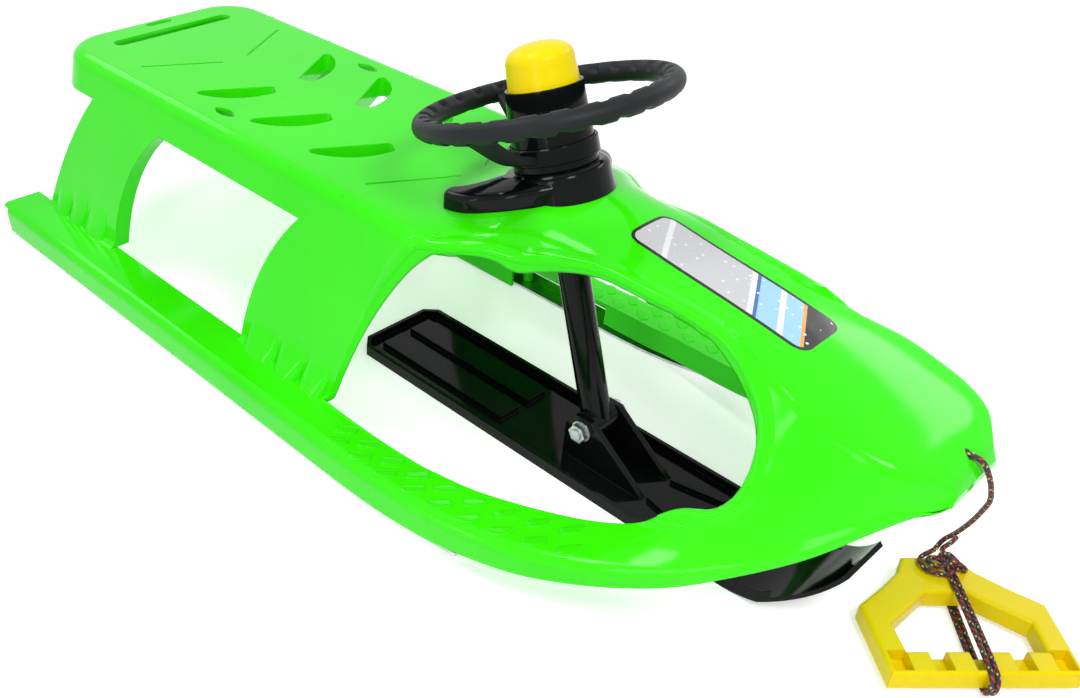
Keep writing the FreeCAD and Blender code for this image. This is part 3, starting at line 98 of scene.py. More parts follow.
def ramp(tree, factor, stops, interpolation="LINEAR"):
    """Colour along a factor: stops are (place, linear colour)."""
    node = add(tree, "ShaderNodeValToRGB", {"Fac": factor})
    node.color_ramp.interpolation = interpolation
    elements = node.color_ramp.elements
    while len(elements) < len(stops):
        elements.new(0.5)
    for element, (place, colour) in zip(elements, stops):
        element.position = place
        element.color = (*colour, 1)
    return node.outputs["Color"]


def remap(tree, value, low, high):
    """A noise value spread over a range."""
    values = {"Value": value, "From Min": 0.3, "From Max": 0.7, "To Min": low, "To Max": high}
    return add(tree, "ShaderNodeMapRange", values).outputs["Result"]


MIX_FACTOR, MIX_A, MIX_B, MIX_RESULT = 0, 6, 7, 2  # the Mix node's sockets for colours


def mix(tree, factor, a, b):
    """Colour a where the factor is 0 and b where it is 1."""
    node = add(tree, "ShaderNodeMix", data_type="RGBA")
    for index, value in ((MIX_FACTOR, factor), (MIX_A, a), (MIX_B, b)):
        if isinstance(value, bpy.types.NodeSocket):
            tree.links.new(value, node.inputs[index])
        else:
            node.inputs[index].default_value = value if index == MIX_FACTOR else (*value, 1)
    return node.outputs[MIX_RESULT]


def bump(tree, height, strength, distance, normal=None):
    values = {"Height": height, "Strength": strength, "Distance": distance}
    if normal:
        values["Normal"] = normal
    return add(tree, "ShaderNodeBump", values).outputs["Normal"]


def soft_edges(tree, radius):
    return add(tree, "ShaderNodeBevel", {"Radius": radius}, samples=4).outputs["Normal"]


# Materials

def plastic(name, deep, pale, rough, grain_scale, grain, edge, specular):
    """Moulded plastic: slow drift of colour, smudged gloss, fine grain and softened edges."""
    material, tree, shader = new_material(name)
    place = add(tree, "ShaderNodeTexCoord").outputs["Object"]
    drift = noise(tree, place, scale=6.0)
    smudge = noise(tree, place, scale=38.0, detail=5.0, roughness=0.62)
    fine = noise(tree, place, grain_scale, detail=2.0)
    tree.links.new(ramp(tree, drift, ((0.3, deep), (0.7, pale))), shader.inputs["Base Color"])
    tree.links.new(remap(tree, smudge, *rough), shader.inputs["Roughness"])
    under = soft_edges(tree, edge) if edge else None
    tree.links.new(bump(tree, fine, strength=grain, distance=0.0004, normal=under), shader.inputs["Normal"])
    shader.inputs["Specular IOR Level"].default_value = specular
    return material


def steel(name, colour, rough):
    """Zinc-bright steel with fine drawn lines along the runners and faint wear."""
    material, tree, shader = new_material(name)
    place = add(tree, "ShaderNodeTexCoord").outputs["Object"]
    drawn = add(tree, "ShaderNodeMapping", {"Vector": place, "Scale": (8.0, 900.0, 900.0)}).outputs[0]
    lines = noise(tree, drawn, scale=1.0, detail=2.0)
    wear = noise(tree, place, scale=60.0, detail=4.0)
    dark = tuple(c * 0.72 for c in colour)
    tree.links.new(ramp(tree, wear, ((0.35, dark), (0.65, colour))), shader.inputs["Base Color"])
    tree.links.new(remap(tree, lines, *rough), shader.inputs["Roughness"])
    under = soft_edges(tree, 0.0004)
    tree.links.new(bump(tree, lines, strength=0.12, distance=0.0002, normal=under), shader.inputs["Normal"])
    shader.inputs["Metallic"].default_value = 1.0
    return material


BRAID_STRANDS = 6
BRAID_PITCH = 0.0023
BLACK_YARN = (0.012, 0.012, 0.016)
NAVY_YARN = (0.018, 0.028, 0.085)
RED_YARN = (0.55, 0.022, 0.016)
YELLOW_YARN = (0.86, 0.52, 0.05)
# The yarns of the two families that cross, in their order round the cord
YARNS = (
    (RED_YARN, BLACK_YARN, NAVY_YARN, YELLOW_YARN, BLACK_YARN, BLACK_YARN),
    (BLACK_YARN, RED_YARN, BLACK_YARN, NAVY_YARN, BLACK_YARN, NAVY_YARN),
)
WORN_YARN = (0.08, 0.07, 0.07)


def braid_material():
    """Braided cord: two families of yarns cross over and under, some of them coloured."""
    material, tree, shader = new_material("braided_rope")
    split = add(tree, "ShaderNodeSeparateXYZ", {"Vector": add(tree, "ShaderNodeUVMap").outputs["UV"]})
    around = maths(tree, "MULTIPLY", split.outputs["X"], BRAID_STRANDS)
    along = maths(tree, "DIVIDE", split.outputs["Y"], BRAID_PITCH)
    families = (maths(tree, "ADD", around, along), maths(tree, "SUBTRACT", around, along))
    cells = [maths(tree, "FLOOR", family) for family in families]
    parity = maths(tree, "FLOORED_MODULO", maths(tree, "ADD", *cells), 2.0)
    above = maths(tree, "GREATER_THAN", parity, 0.5)
    colours = []
    for cell, yarns in zip(cells, YARNS):
        index = maths(tree, "FLOORED_MODULO", cell, float(BRAID_STRANDS))
        share = maths(tree, "DIVIDE", maths(tree, "ADD", index, 0.5), float(BRAID_STRANDS))
        stops = [(number / BRAID_STRANDS, yarn) for number, yarn in enumerate(yarns)]
        colours.append(ramp(tree, share, stops, "CONSTANT"))
    yarn = mix(tree, above, *colours)
    place = add(tree, "ShaderNodeTexCoord").outputs["Object"]
    fibres = noise(tree, place, scale=2600.0, detail=3.0)
    worn = mix(tree, remap(tree, fibres, 0.0, 0.12), yarn, WORN_YARN)
    tree.links.new(worn, shader.inputs["Base Color"])
    tree.links.new(remap(tree, fibres, 0.5, 0.8), shader.inputs["Roughness"])
    tree.links.new(bump(tree, fibres, strength=0.5, distance=0.0003), shader.inputs["Normal"])
    shader.inputs["Sheen Weight"].default_value = 0.06
    return material


GREEN_SKIN = dict(
    deep=(0.036, 0.86, 0.002), pale=(0.048, 0.93, 0.003), rough=(0.07, 0.14),
    grain_scale=900.0, grain=0.03, specular=0.17,
)
GREEN = plastic("green_moulding", edge=0.0016, **GREEN_SKIN)
GREEN_ROLL = plastic("green_rolled_edge", edge=0, **GREEN_SKIN)  # its edges are round already
BLACK = plastic(
    "black_moulding", deep=(0.003, 0.0035, 0.004), pale=(0.006, 0.0065, 0.007), rough=(0.05, 0.12),
    grain_scale=700.0, grain=0.03, edge=0.0012, specular=0.13,
)
GRIP = plastic(
    "grip_moulding", deep=(0.012, 0.014, 0.015), pale=(0.018, 0.020, 0.022), rough=(0.42, 0.56),
    grain_scale=1400.0, grain=0.22, edge=0.0005, specular=0.16,
)
YELLOW = plastic(
    "yellow_moulding", deep=(0.93, 0.70, 0.001), pale=(0.97, 0.77, 0.002), rough=(0.22, 0.34),
    grain_scale=900.0, grain=0.06, edge=0.0012, specular=0.13,
)
NATURAL = plastic(
    "bush_moulding", deep=(0.55, 0.55, 0.52), pale=(0.64, 0.64, 0.60), rough=(0.35, 0.5),
    grain_scale=900.0, grain=0.05, edge=0.0005, specular=0.4,
)
RUBBER = plastic(
    "bellows_rubber", deep=(0.014, 0.014, 0.014), pale=(0.022, 0.022, 0.022), rough=(0.55, 0.7),
    grain_scale=1200.0, grain=0.2, edge=0.0004, specular=0.3,
)
STEEL = steel("zinc_steel", colour=(0.62, 0.63, 0.65), rough=(0.24, 0.42))
ROPE = braid_material()

FINISHES = {
    "green_plastic": GREEN,
    "steel": STEEL,
    "black_plastic": BLACK,
    "soft_black_plastic": GRIP,
    "yellow_plastic": YELLOW,
    "bush_plastic": NATURAL,
    "bellows_rubber": RUBBER,
    "rope": ROPE,
}
for row in frame["record"]["subparts"]:
    mesh = NODES[row["node"]].data
    mesh.materials.clear()
    mesh.materials.append(FINISHES[row["material_slot"]])


# Mesh helpers

def piece(name, body, material, slot, vertices, faces, uvs=None, sharp_deg=40):
    """A smooth-shaded mesh that rides on a body; uvs are one (u, v) per face corner."""
    mesh = bpy.data.meshes.new(name)
    mesh.from_pydata([tuple(v) for v in vertices], [], faces)
    if uvs:
        layer = mesh.uv_layers.new(name="UVMap")
        flat = [number for pair in uvs for number in pair]
        layer.data.foreach_set("uv", flat)
    mesh.polygons.foreach_set("use_smooth", [True] * len(mesh.polygons))
    mesh.set_sharp_from_angle(angle=math.radians(sharp_deg))
    mesh.materials.append(material)
    obj = bpy.data.objects.new(name, mesh)
    bpy.context.scene.collection.objects.link(obj)
    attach(obj, body)
    return obj


def skin(rings, looped=False):
    """Vertices and faces over a row of rings with equal counts, closed by a loop or by caps."""
    count = len(rings[0])
    vertices = [point for ring in rings for point in ring]
    faces = []
    steps = len(rings) if looped else len(rings) - 1
    for i in range(steps):
        a, b = i * count, (i + 1) % len(rings) * count
        for j in range(count):
            k = (j + 1) % count
            faces.append((a + j, a + k, b + k, b + j))
    if not looped:
        last = (len(rings) - 1) * count
        faces.append(tuple(range(count))[::-1])
        faces.append(tuple(range(last, last + count)))
    return vertices, faces


def join(*parts):
    """Several (vertices, faces) lists as one."""
    vertices, faces = [], []
    for points, polygons in parts:
        start = len(vertices)
        vertices += points
        faces += [tuple(start + i for i in polygon) for polygon in polygons]
    return vertices, faces


def facing_out(ring, side):
    """A ring in the order that keeps its faces outward, on the left (1) or right (-1) of the sled."""
    return ring if side > 0 else ring[::-1]


def signed_power(value, power):
    """A sine or cosine raised to a power with its sign kept: under 1 it makes a section squarer."""
    return math.copysign(abs(value) ** power, value)


def heading(line, i):
    """Direction of a line at its point i."""
    return (line[min(i + 1, len(line) - 1)] - line[max(i - 1, 0)]).normalized()


def length_of(line):
    return sum((b - a).length for a, b in zip(line, line[1:]))


def route_line(points, step):
    """Points at even steps along the smooth line that a route's points control."""
    curve = bpy.data.curves.new("route", "CURVE")
    curve.dimensions = "3D"
    curve.resolution_u = 32
    spline = curve.splines.new("NURBS")
    spline.points.add(len(points) - 1)
    for control, point in zip(spline.points, points):
        control.co = (*point, 1)
    spline.order_u = 3
    spline.use_endpoint_u = True
    holder = bpy.data.objects.new("route", curve)
    bpy.context.scene.collection.objects.link(holder)
    bpy.context.view_layer.update()
    mesh = bpy.data.meshes.new_from_object(holder)
    raw = [vertex.co.copy() for vertex in mesh.vertices]
    bpy.data.objects.remove(holder)
    bpy.data.curves.remove(curve)
    bpy.data.meshes.remove(mesh)
    total = length_of(raw)
    pitch = total / round(total / step)
    line, carried = [raw[0]], 0.0
    for a, b in zip(raw, raw[1:]):
        span = (b - a).length
        while span and carried + span >= pitch * len(line):
            line.append(a.lerp(b, (pitch * len(line) - carried) / span))
        carried += span
    return line


# Rope: its run from the nose, the winding on the handle, and a knot at each end of the run

ROPE_RADIUS = 0.002
BRAID_AROUND = 24
BRAID_STEP = 0.0006
BRAID_RELIEF = 0.1  # share of the radius
YARN_FALL = (0.8, 0.5)  # fall from a yarn's crown to its edges, across it and along it
BRAID_SHARP_DEG = 80

ROPE_ROUTE = (
    (1006, 0, 183.6), (1014, 0, 184.5), (1024.5, 0.2, 185), (1034, 2.5, 184), (1040.5, 9.5, 168),
    (1042.5, 19, 151), (1042, 28, 137), (1037.5, 41, 119), (1030, 58, 91), (1020.5, 75, 63), (1014, 85, 47),
    (1009, 87, 37.5), (1008, 82, 30),
)
STOP_KNOT_ROUTE = (
    (1006.5, 0, 183.6), (1004.5, 3.2, 183.6), (1004, 2.3, 186.2), (1003.5, -2.2, 186.3), (1003, -3.3, 183),
    (1002.5, -1.5, 180.8), (1002, 2, 180.9), (1001, 3.2, 184), (1000, 1, 186), (998, -1, 184.5),
    (993, -1, 182),
)

# Handle: the middle of its top edge, its turn, its length and the height of its middle
HANDLE_PLACE_MM = (1006, 79)
HANDLE_TURN = math.radians(-42.5)
HANDLE_LENGTH_MM = 116
HANDLE_MIDDLE_MM = 13.6

# Winding: where the rope starts, passes the handle's ends by turns and stops, across the handle
WINDING_ACROSS_MM = (8, 10.75, 13.5, 15.14, 17.9, 21.75)
WINDING_ALONG_MM = 18
WINDING_RISE_MM = 11.4  # from the handle's middle to the rope's
WINDING_INSET_MM = 4.5
WINDING_SLANT_MM = -10
EDGE_TURN_SHARES = ((0.414, 1.0), (1.0, 0.414), (1.0, -0.414), (0.414, -1.0))

# Knot on the handle, as (along, across) the handle and height: the loop with its tail, then the
# inner strand that ties the two ends of the winding
KNOT_LOOP = (
    (-0.55, 3.56, 30), (0.8, -1.5, 27.5), (3.5, -8, 26.8), (9.5, -12, 26.5), (16.5, -10.5, 26.3),
    (22, -4, 26.3), (24, 4, 27), (22.5, 11, 28.3), (18, 14.5, 29), (12.5, 13.3, 30.5), (8, 8.8, 32),
    (4.5, 5.5, 34), (1.5, 9, 35), (-1, 14, 35.5), (-5, 19, 36), (-7.7, 22, 36),
)
KNOT_INNER = (
    (18, 8, 25), (13, 7, 28), (8, 3, 29), (6.5, -3, 28.5), (10.5, -6.5, 28.5), (16, -4, 28.5), (18.5, 2, 30),
    (16.5, 8, 32.5), (18.5, 14.5, 33.5), (21, 20, 29.5), (18, 21.75, 25),
)


def on_handle(along, across, height):
    """A point given along and across the handle, in mm from the runners' rear ends."""
    c, s = math.cos(HANDLE_TURN), math.sin(HANDLE_TURN)
    x, y = HANDLE_PLACE_MM
    return x + along * c - across * s, y + along * s + across * c, height


def winding_route():
    """Turns of rope wound lengthwise round the handle, side by side, to 0.1 mm."""
    start, *passes, stop = WINDING_ACROSS_MM
    top = HANDLE_MIDDLE_MM + WINDING_RISE_MM
    points = [on_handle(WINDING_ALONG_MM, start, top)]
    for number, across in enumerate(passes):
        end, way = ((HANDLE_LENGTH_MM, 1), (0, -1))[number % 2]
        for out, up in EDGE_TURN_SHARES:
            along = end + way * (out * WINDING_RISE_MM - WINDING_INSET_MM)
            lean = WINDING_SLANT_MM * along / HANDLE_LENGTH_MM
            points.append(on_handle(along, across + lean, HANDLE_MIDDLE_MM + way * up * WINDING_RISE_MM))
    points.append(on_handle(WINDING_ALONG_MM, stop, top))
    return [[round(number, 1) for number in point] for point in points]


def braid_rise(around, along):
    """Height share of the braid's surface: a pillow where one yarn crosses over another."""
    first, second = around + along, around - along
    over = (math.floor(first) + math.floor(second)) % 2 == 0
    a, b = first % 1 * 2 - 1, second % 1 * 2 - 1
    across, lengthwise = (a, b) if over else (b, a)
    return (1 - YARN_FALL[0] * across * across) * (1 - YARN_FALL[1] * lengthwise * lengthwise)


def braid(line, radius):
    """Vertices, faces and uvs of a braided cord along a line."""
    rings, lengths = [], []
    side = (line[1] - line[0]).orthogonal().normalized()
    travelled = 0.0
    for i, point in enumerate(line):
        ahead = heading(line, i)
        side = (side - ahead * side.dot(ahead)).normalized()
        other = ahead.cross(side)
        if i:
            travelled += (point - line[i - 1]).length
        lengths.append(travelled)
        ring = []
        for j in range(BRAID_AROUND):
            share = j / BRAID_AROUND
            rise = braid_rise(share * BRAID_STRANDS, travelled / BRAID_PITCH)
            reach = radius * (1 - BRAID_RELIEF + BRAID_RELIEF * rise)
            turn = share * 2 * math.pi
            ring.append(point + (side * math.cos(turn) + other * math.sin(turn)) * reach)
        rings.append(ring)
    vertices, faces = skin(rings)
    uvs = []
    for i in range(len(rings) - 1):
        for j in range(BRAID_AROUND):
            u0, u1 = j / BRAID_AROUND, (j + 1) / BRAID_AROUND
            v0, v1 = lengths[i], lengths[i + 1]
            uvs += [(u0, v0), (u1, v0), (u1, v1), (u0, v1)]
    uvs += [(0.0, 0.0)] * BRAID_AROUND + [(0.0, travelled)] * BRAID_AROUND
    return vertices, faces, uvs


def rope_piece(name, node, *routes):
    """A braided piece along one or more routes, in place of a node, and the line of its first route."""
    vertices, faces, uvs, lines = [], [], [], []
    for route in routes:
        line = route_line([at(*point) for point in route], BRAID_STEP)
        points, polygons, corners = braid(line, ROPE_RADIUS)
        vertices, faces = join((vertices, faces), (points, polygons))
        uvs += corners
        lines.append(line)
    obj = piece(name, "sled", ROPE, "rope", vertices, faces, uvs, BRAID_SHARP_DEG)
    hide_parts(node)
    return obj, lines[0]


rope, rope_line = rope_piece("pull_rope_braid", "pull_rope", ROPE_ROUTE)
winding, winding_line = rope_piece("rope_winding_braid", "rope_winding", winding_route())
knot_routes = [[on_handle(*point) for point in route] for route in (KNOT_LOOP, KNOT_INNER)]
knot, _ = rope_piece("handle_knot_braid", "rope_hitch", *knot_routes)
stop_knot, _ = rope_piece("stop_knot_braid", "rope_stop_knot", STOP_KNOT_ROUTE)


# Steering wheel: a nicked rim on two bent spokes, and a ring round its hub

RIM_RADIUS = 0.101
RIM_TUBE = 0.0088
RIM_NICKS = 28
RIM_STEPS = 20  # rings to a nick
RIM_AROUND = 36
# Rows of nicks, as (depth, middle and spread round the rim's section in degrees, lag in the pitch)
NICK_ROWS = ((0.0048, 122, 50, 0), (0.003, 285, 46, 0.5))
NICK_FACE, NICK_RAMP = 0.1, 0.4  # shares of the pitch
NICK_FADE_POWER = 1.5

SPOKE_ANGLES_DEG = (153, 273)
# Distance from the steering axis and height over the wheel, in mm
SPOKE_PATH_MM = ((33, -40), (46, -37), (58, -31), (70, -22), (82, -12), (93, -4), (99, -1))
SPOKE_HALF = (0.011, 0.004)
SPOKE_STEP = 0.002
SPOKE_AROUND = 24
SPOKE_POWER = 0.4

RING_ROWS_MM = ((35.2, -45), (36.6, -45), (37.4, -44.2), (36.9, -31.8), (36.1, -31), (34.6, -31))
RING_AROUND = 72


def wheel_point(angle, reach, rise):
    """A point at an angle and a distance about the steering axis, and at a height over the wheel."""
    out = WHEEL_FORWARD * math.cos(angle) + WHEEL_LEFT * math.sin(angle)
    return WHEEL_CENTRE + out * reach + AXIS * rise


def turned(rows_mm, around):
    """Rings about the steering axis, from rows of distance and height over the wheel."""
    angles = [2 * math.pi * i / around for i in range(around)]
    return [[wheel_point(angle, r * MM, d * MM) for angle in angles] for r, d in rows_mm]


def nick(turn_share):
    """Depth share of a finger nick along the rim: a steep face, then a ramp."""
    if turn_share < NICK_FACE:
        return turn_share / NICK_FACE
    return max(0.0, 1 - (turn_share - NICK_FACE) / NICK_RAMP)


def near(angle_deg, middle, spread):
    """Share that fades from 1 at an angle to 0 at a spread from it."""
    apart = abs((angle_deg - middle + 180) % 360 - 180) / spread
    return max(0.0, 1 - apart * apart) ** NICK_FADE_POWER


def rim_rings():
    rings = []
    total = RIM_NICKS * RIM_STEPS
    for i in range(total):
        angle = 2 * math.pi * i / total
        nicks = [
            (depth * nick((i / RIM_STEPS + lag) % 1), middle, spread)
            for depth, middle, spread, lag in NICK_ROWS
        ]
        ring = []
        for j in range(RIM_AROUND):
            section_deg = 360 * j / RIM_AROUND
            reach = RIM_TUBE - sum(depth * near(section_deg, *where) for depth, *where in nicks)
            section = math.radians(section_deg)
            ring.append(wheel_point(angle, RIM_RADIUS + reach * math.cos(section), reach * math.sin(section)))
        rings.append(ring[::-1])
    return rings


def spoke_rings(angle_deg):
    """A strap of rounded section, bent up from the hub to the rim."""
    angle = math.radians(angle_deg)
    across = WHEEL_LEFT * math.cos(angle) - WHEEL_FORWARD * math.sin(angle)
    line = route_line([wheel_point(angle, r * MM, d * MM) for r, d in SPOKE_PATH_MM], SPOKE_STEP)
    rings = []
    for i, point in enumerate(line):
        up = heading(line, i).cross(across)
        ring = []
        for j in range(SPOKE_AROUND):
            turn = 2 * math.pi * j / SPOKE_AROUND
            wide = signed_power(math.cos(turn), SPOKE_POWER) * SPOKE_HALF[0]
            thick = signed_power(math.sin(turn), SPOKE_POWER) * SPOKE_HALF[1]
            ring.append(point + across * wide + up * thick)
        rings.append(ring)
    return rings


wheel_parts = [skin(rim_rings(), looped=True)] + [skin(spoke_rings(angle)) for angle in SPOKE_ANGLES_DEG]
wheel = piece("steering_wheel_grip", "steering", GRIP, "soft_black_plastic", *join(*wheel_parts))
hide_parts("steering_wheel")
hub_ring = skin(turned(RING_ROWS_MM, RING_AROUND), looped=True)
piece("steering_wheel_ring", "steering", BLACK, "black_plastic", *hub_ring)


# Bellows under the horn, with four folds

BELLOWS_SPAN_MM = (3.65, 38.45)
BELLOWS_RADIUS_MM = 13
BELLOWS_FOLD_MM = 4
BELLOWS_WALL_MM = 2
BELLOWS_FOLDS = 4
BELLOWS_ROWS = 48
BELLOWS_AROUND = 48


def bellows_rows():
    """Rows up the outside of the bellows, then down the inside."""
    low, high = BELLOWS_SPAN_MM
    rows = []
    for i in range(BELLOWS_ROWS + 1):
        share = i / BELLOWS_ROWS
        wave = (1 - math.cos(2 * math.pi * BELLOWS_FOLDS * share)) / 2
        rows.append((BELLOWS_RADIUS_MM + BELLOWS_FOLD_MM * wave, low + (high - low) * share))
    return rows + [(reach - BELLOWS_WALL_MM, rise) for reach, rise in reversed(rows)]


bellows_skin = skin(turned(bellows_rows(), BELLOWS_AROUND), looped=True)
bellows = piece("horn_bellows_rubber", "steering", RUBBER, "bellows_rubber", *bellows_skin)
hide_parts("horn_bellows")
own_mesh(bellows)


# Horn cap: one smooth dome over its skirt and stem

# Stem, roof and skirt as (distance from the steering axis, height over the wheel), in mm
CAP_ROWS_MM = ((0.05, -3.8), (6, -3.8), (6, 38.5), (23.5, 38.5), (25.8, 10), (29.3, 10))
CAP_AROUND = 72
DOME_BASE_MM = 32.5
DOME_HALF_MM = (27.7, 14.3)
DOME_FULLNESS = 2.3  # 2 is an ellipse
DOME_ROWS = 24


def cap_rows():
    """Rows up the stem, out under the roof, down inside the skirt and up over the dome."""
    rows = list(CAP_ROWS_MM)
    least = CAP_ROWS_MM[0][0]
    for i in range(DOME_ROWS + 1):
        turn = math.pi / 2 * i / DOME_ROWS
        reach = DOME_HALF_MM[0] * abs(math.cos(turn)) ** (2 / DOME_FULLNESS)
        rise = DOME_HALF_MM[1] * math.sin(turn) ** (2 / DOME_FULLNESS)
        rows.append((max(reach, least), DOME_BASE_MM + rise))
    return rows


horn_cap = piece("horn_cap_dome", "horn", YELLOW, "yellow_plastic", *skin(turned(cap_rows(), CAP_AROUND)))
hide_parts("horn_button")


# Surface of the shell, which the tread, the rolled edges and the label follow

SHELL_CLEAR = 0.28  # a height over all of the shell that is searched
shell_tree = BVHTree.FromObject(NODES["body_shell"], bpy.context.evaluated_depsgraph_get())


def on_shell(x, y):
    """The shell's upper surface over (x, y)."""
    place, _, _, _ = shell_tree.ray_cast(Vector((x, y, SHELL_CLEAR)), Vector((0, 0, -1)))
    return place


# Tread on the footrests: two rows of raised scales on each

TREAD_PLACES_MM = (
    (593.7, 187.7), (623.2, 187.5), (654.2, 186.7), (686.2, 185.1), (716.6, 183.3), (747.1, 181.7),
    (776.5, 177.4), (804.8, 170.7), (833.5, 163.2),
    (587.5, 172.6), (616.2, 171.4), (647.3, 171.9), (676.0, 169.9), (706.8, 166.6), (736.1, 163.2),
    (765.4, 158.4), (793.2, 151.9), (820.3, 144.3),
)
TREAD_TURN_DEG = 45
TREAD_HALF = (0.0105, 0.0065)
TREAD_RISE = 0.0019
TREAD_AROUND = 28
# From the foot of a scale to its top, as shares of its plan and of its rise
TREAD_ROWS = ((1.0, -0.25), (0.97, 0.55), (0.9, 0.9), (0.7, 1.0), (0.35, 1.0), (0.05, 1.0))
TREAD_END_POWER, TREAD_FRONT_POWER, TREAD_BACK_POWER = 0.7, 0.8, 0.35
TREAD_BACK = 0.75  # the back half's depth as a share of the front half's
TREAD_BACK_LIFT = 0.12  # the back edge's rise as a share of the front edge's


def tread_scale(x_mm, y_mm, side):
    """One raised scale: nearly flush at its back, proud and round at its front edge."""
    middle = at(x_mm, side * y_mm, 0)
    turn = math.radians(TREAD_TURN_DEG)
    long = Vector((math.cos(turn), -side * math.sin(turn), 0))
    short = Vector((math.sin(turn), side * math.cos(turn), 0))
    rings = []
    for share, rise in TREAD_ROWS:
        ring = []
        for i in range(TREAD_AROUND):
            angle = 2 * math.pi * i / TREAD_AROUND
            c, s = math.cos(angle), math.sin(angle)
            power, depth = (TREAD_FRONT_POWER, 1) if s > 0 else (TREAD_BACK_POWER, TREAD_BACK)
            u = signed_power(c, TREAD_END_POWER) * TREAD_HALF[0] * share
            v = signed_power(s, power) * TREAD_HALF[1] * share * depth
            forward = (v / TREAD_HALF[1] + TREAD_BACK) / (1 + TREAD_BACK)
            lift = TREAD_BACK_LIFT + (1 - TREAD_BACK_LIFT) * forward
            spot = middle + long * u + short * v
            ground = on_shell(spot.x, spot.y)
            height = TREAD_RISE * (rise * lift if rise > 0 else rise)
            ring.append(ground + Vector((0, 0, height)))
        rings.append(facing_out(ring, side))
    return skin(rings)


tread_parts = [tread_scale(x, y, side) for side in (-1, 1) for x, y in TREAD_PLACES_MM]
piece("footrest_tread", "sled", GREEN, "green_plastic", *join(*tread_parts))


# Pleats at the feet of the legs: three on each, which swell towards the runner

LEG_HALF_MM, LEG_LEVEL_MM = 155, 43  # half width over the legs, at a height
LEG_LEAN = 0.204  # how much it narrows for each mm above
PLEAT_FOOT_MM = 34.2
PLEAT_CREASE_MM = 0.5
PLEAT_BACK_MM = 2
PLEAT_ROWS = 14
PLEAT_COLUMNS = 16
PLEAT_SWELL_POWER = 1.7
PLEAT_ROUND_POWER = 0.35
PLEAT_SHARP_DEG = 60
PLEATS_MM = (
    # foot's ends along the sled, top's ends, height of the top, swell at the foot
    ((420, 468), (420, 466), 72, 13), ((469, 503), (467, 511), 76, 13), ((504, 539), (512, 545), 78, 11),
    ((49, 80), (58, 88), 80, 8), ((81, 111), (89, 128), 86, 8), ((112, 156), (129, 163), 84, 8),
)


def pleat(foot, top, height, swell, side):
    """One pleat, flush at its top, with its back inside the leg's wall."""
    rings = []
    for i in range(PLEAT_ROWS + 1):
        share = i / PLEAT_ROWS
        z = height + (PLEAT_FOOT_MM - height) * share
        start, end = (a + (b - a) * share for a, b in zip(top, foot))
        face = LEG_HALF_MM - LEG_LEAN * (z - LEG_LEVEL_MM)
        bulge = swell * share ** PLEAT_SWELL_POWER
        front, back = [], []
        for j in range(PLEAT_COLUMNS + 1):
            across = j / PLEAT_COLUMNS
            x = start + (end - start) * across
            inner = 0 < j < PLEAT_COLUMNS
            rise = bulge * math.sin(math.pi * across) ** PLEAT_ROUND_POWER if inner else 0
            front.append(at(x, side * (face + rise - PLEAT_CREASE_MM), z))
            back.append(at(x, side * (face - PLEAT_BACK_MM), z))
        rings.append(facing_out(front + back[::-1], side))
    return skin(rings)


pleat_parts = [pleat(*sizes, side) for side in (-1, 1) for sizes in PLEATS_MM]
piece("leg_pleats", "sled", GREEN, "green_plastic", *join(*pleat_parts), sharp_deg=PLEAT_SHARP_DEG)


# Rolled edge of the foot openings, along the hood

OPENING_EDGE_MM = (
    (872, 113), (888, 106.9), (911.8, 101.5), (920.1, 91.7), (916, 79.6), (903.6, 69.9), (879.8, 62.5),
    (849.7, 58.1), (800.1, 59.5), (759.7, 62.5), (715.2, 72.6), (685.2, 85), (644.8, 105.9), (609.6, 121),
    (579.6, 133.5), (562, 143.5),
)
# Section as (distance from the edge into the hood, height over its surface), in mm
ROLL_SECTION_MM = (
    (15, -0.7), (13.5, -0.2), (11.5, 0.5), (9, 1.3), (6.5, 1.9), (4, 2.2), (2, 2.0), (0.4, 1.2), (-0.9, -0.2),
    (-1.6, -2), (-1.8, -4.5), (-1.8, -9), (-0.6, -10), (0.7, -9), (0.8, -3), (6, -1.7), (12.5, -1.7),
)
ROLL_STEP = 0.004
ROLL_FADE = 0.12  # share of the edge over which the roll grows, at each end
ROLL_END_WIDTH, ROLL_END_DEPTH = 0.25, 0.2  # shares of its width and depth that are left at the ends
ROLL_DRAPED_MM = (3, -1)  # points further in and higher than this follow the shell
ROLL_SHARP_DEG = 60
EDGE_SEARCH = 0.014
EDGE_HALVINGS = 24
EDGE_INSET = 0.0015  # from the edge to the place where the surface's slope is taken
EDGE_LEAST_SLOPE = 0.2


def opening_edge(spot, out):
    """Plan point of the shell's edge near a spot, searched along the way into the hood."""
    low, high = -EDGE_SEARCH, EDGE_SEARCH
    for _ in range(EDGE_HALVINGS):
        middle = (low + high) / 2
        place = spot + out * middle
        if on_shell(place.x, place.y):
            high = middle
        else:
            low = middle
    return spot + out * high


def roll_height(h, fade):
    """A section point's height where the roll has faded to a share of its size."""
    if h > 0:
        return h * fade
    return h * (ROLL_END_DEPTH + (1 - ROLL_END_DEPTH) * fade) if h < ROLL_DRAPED_MM[1] else h


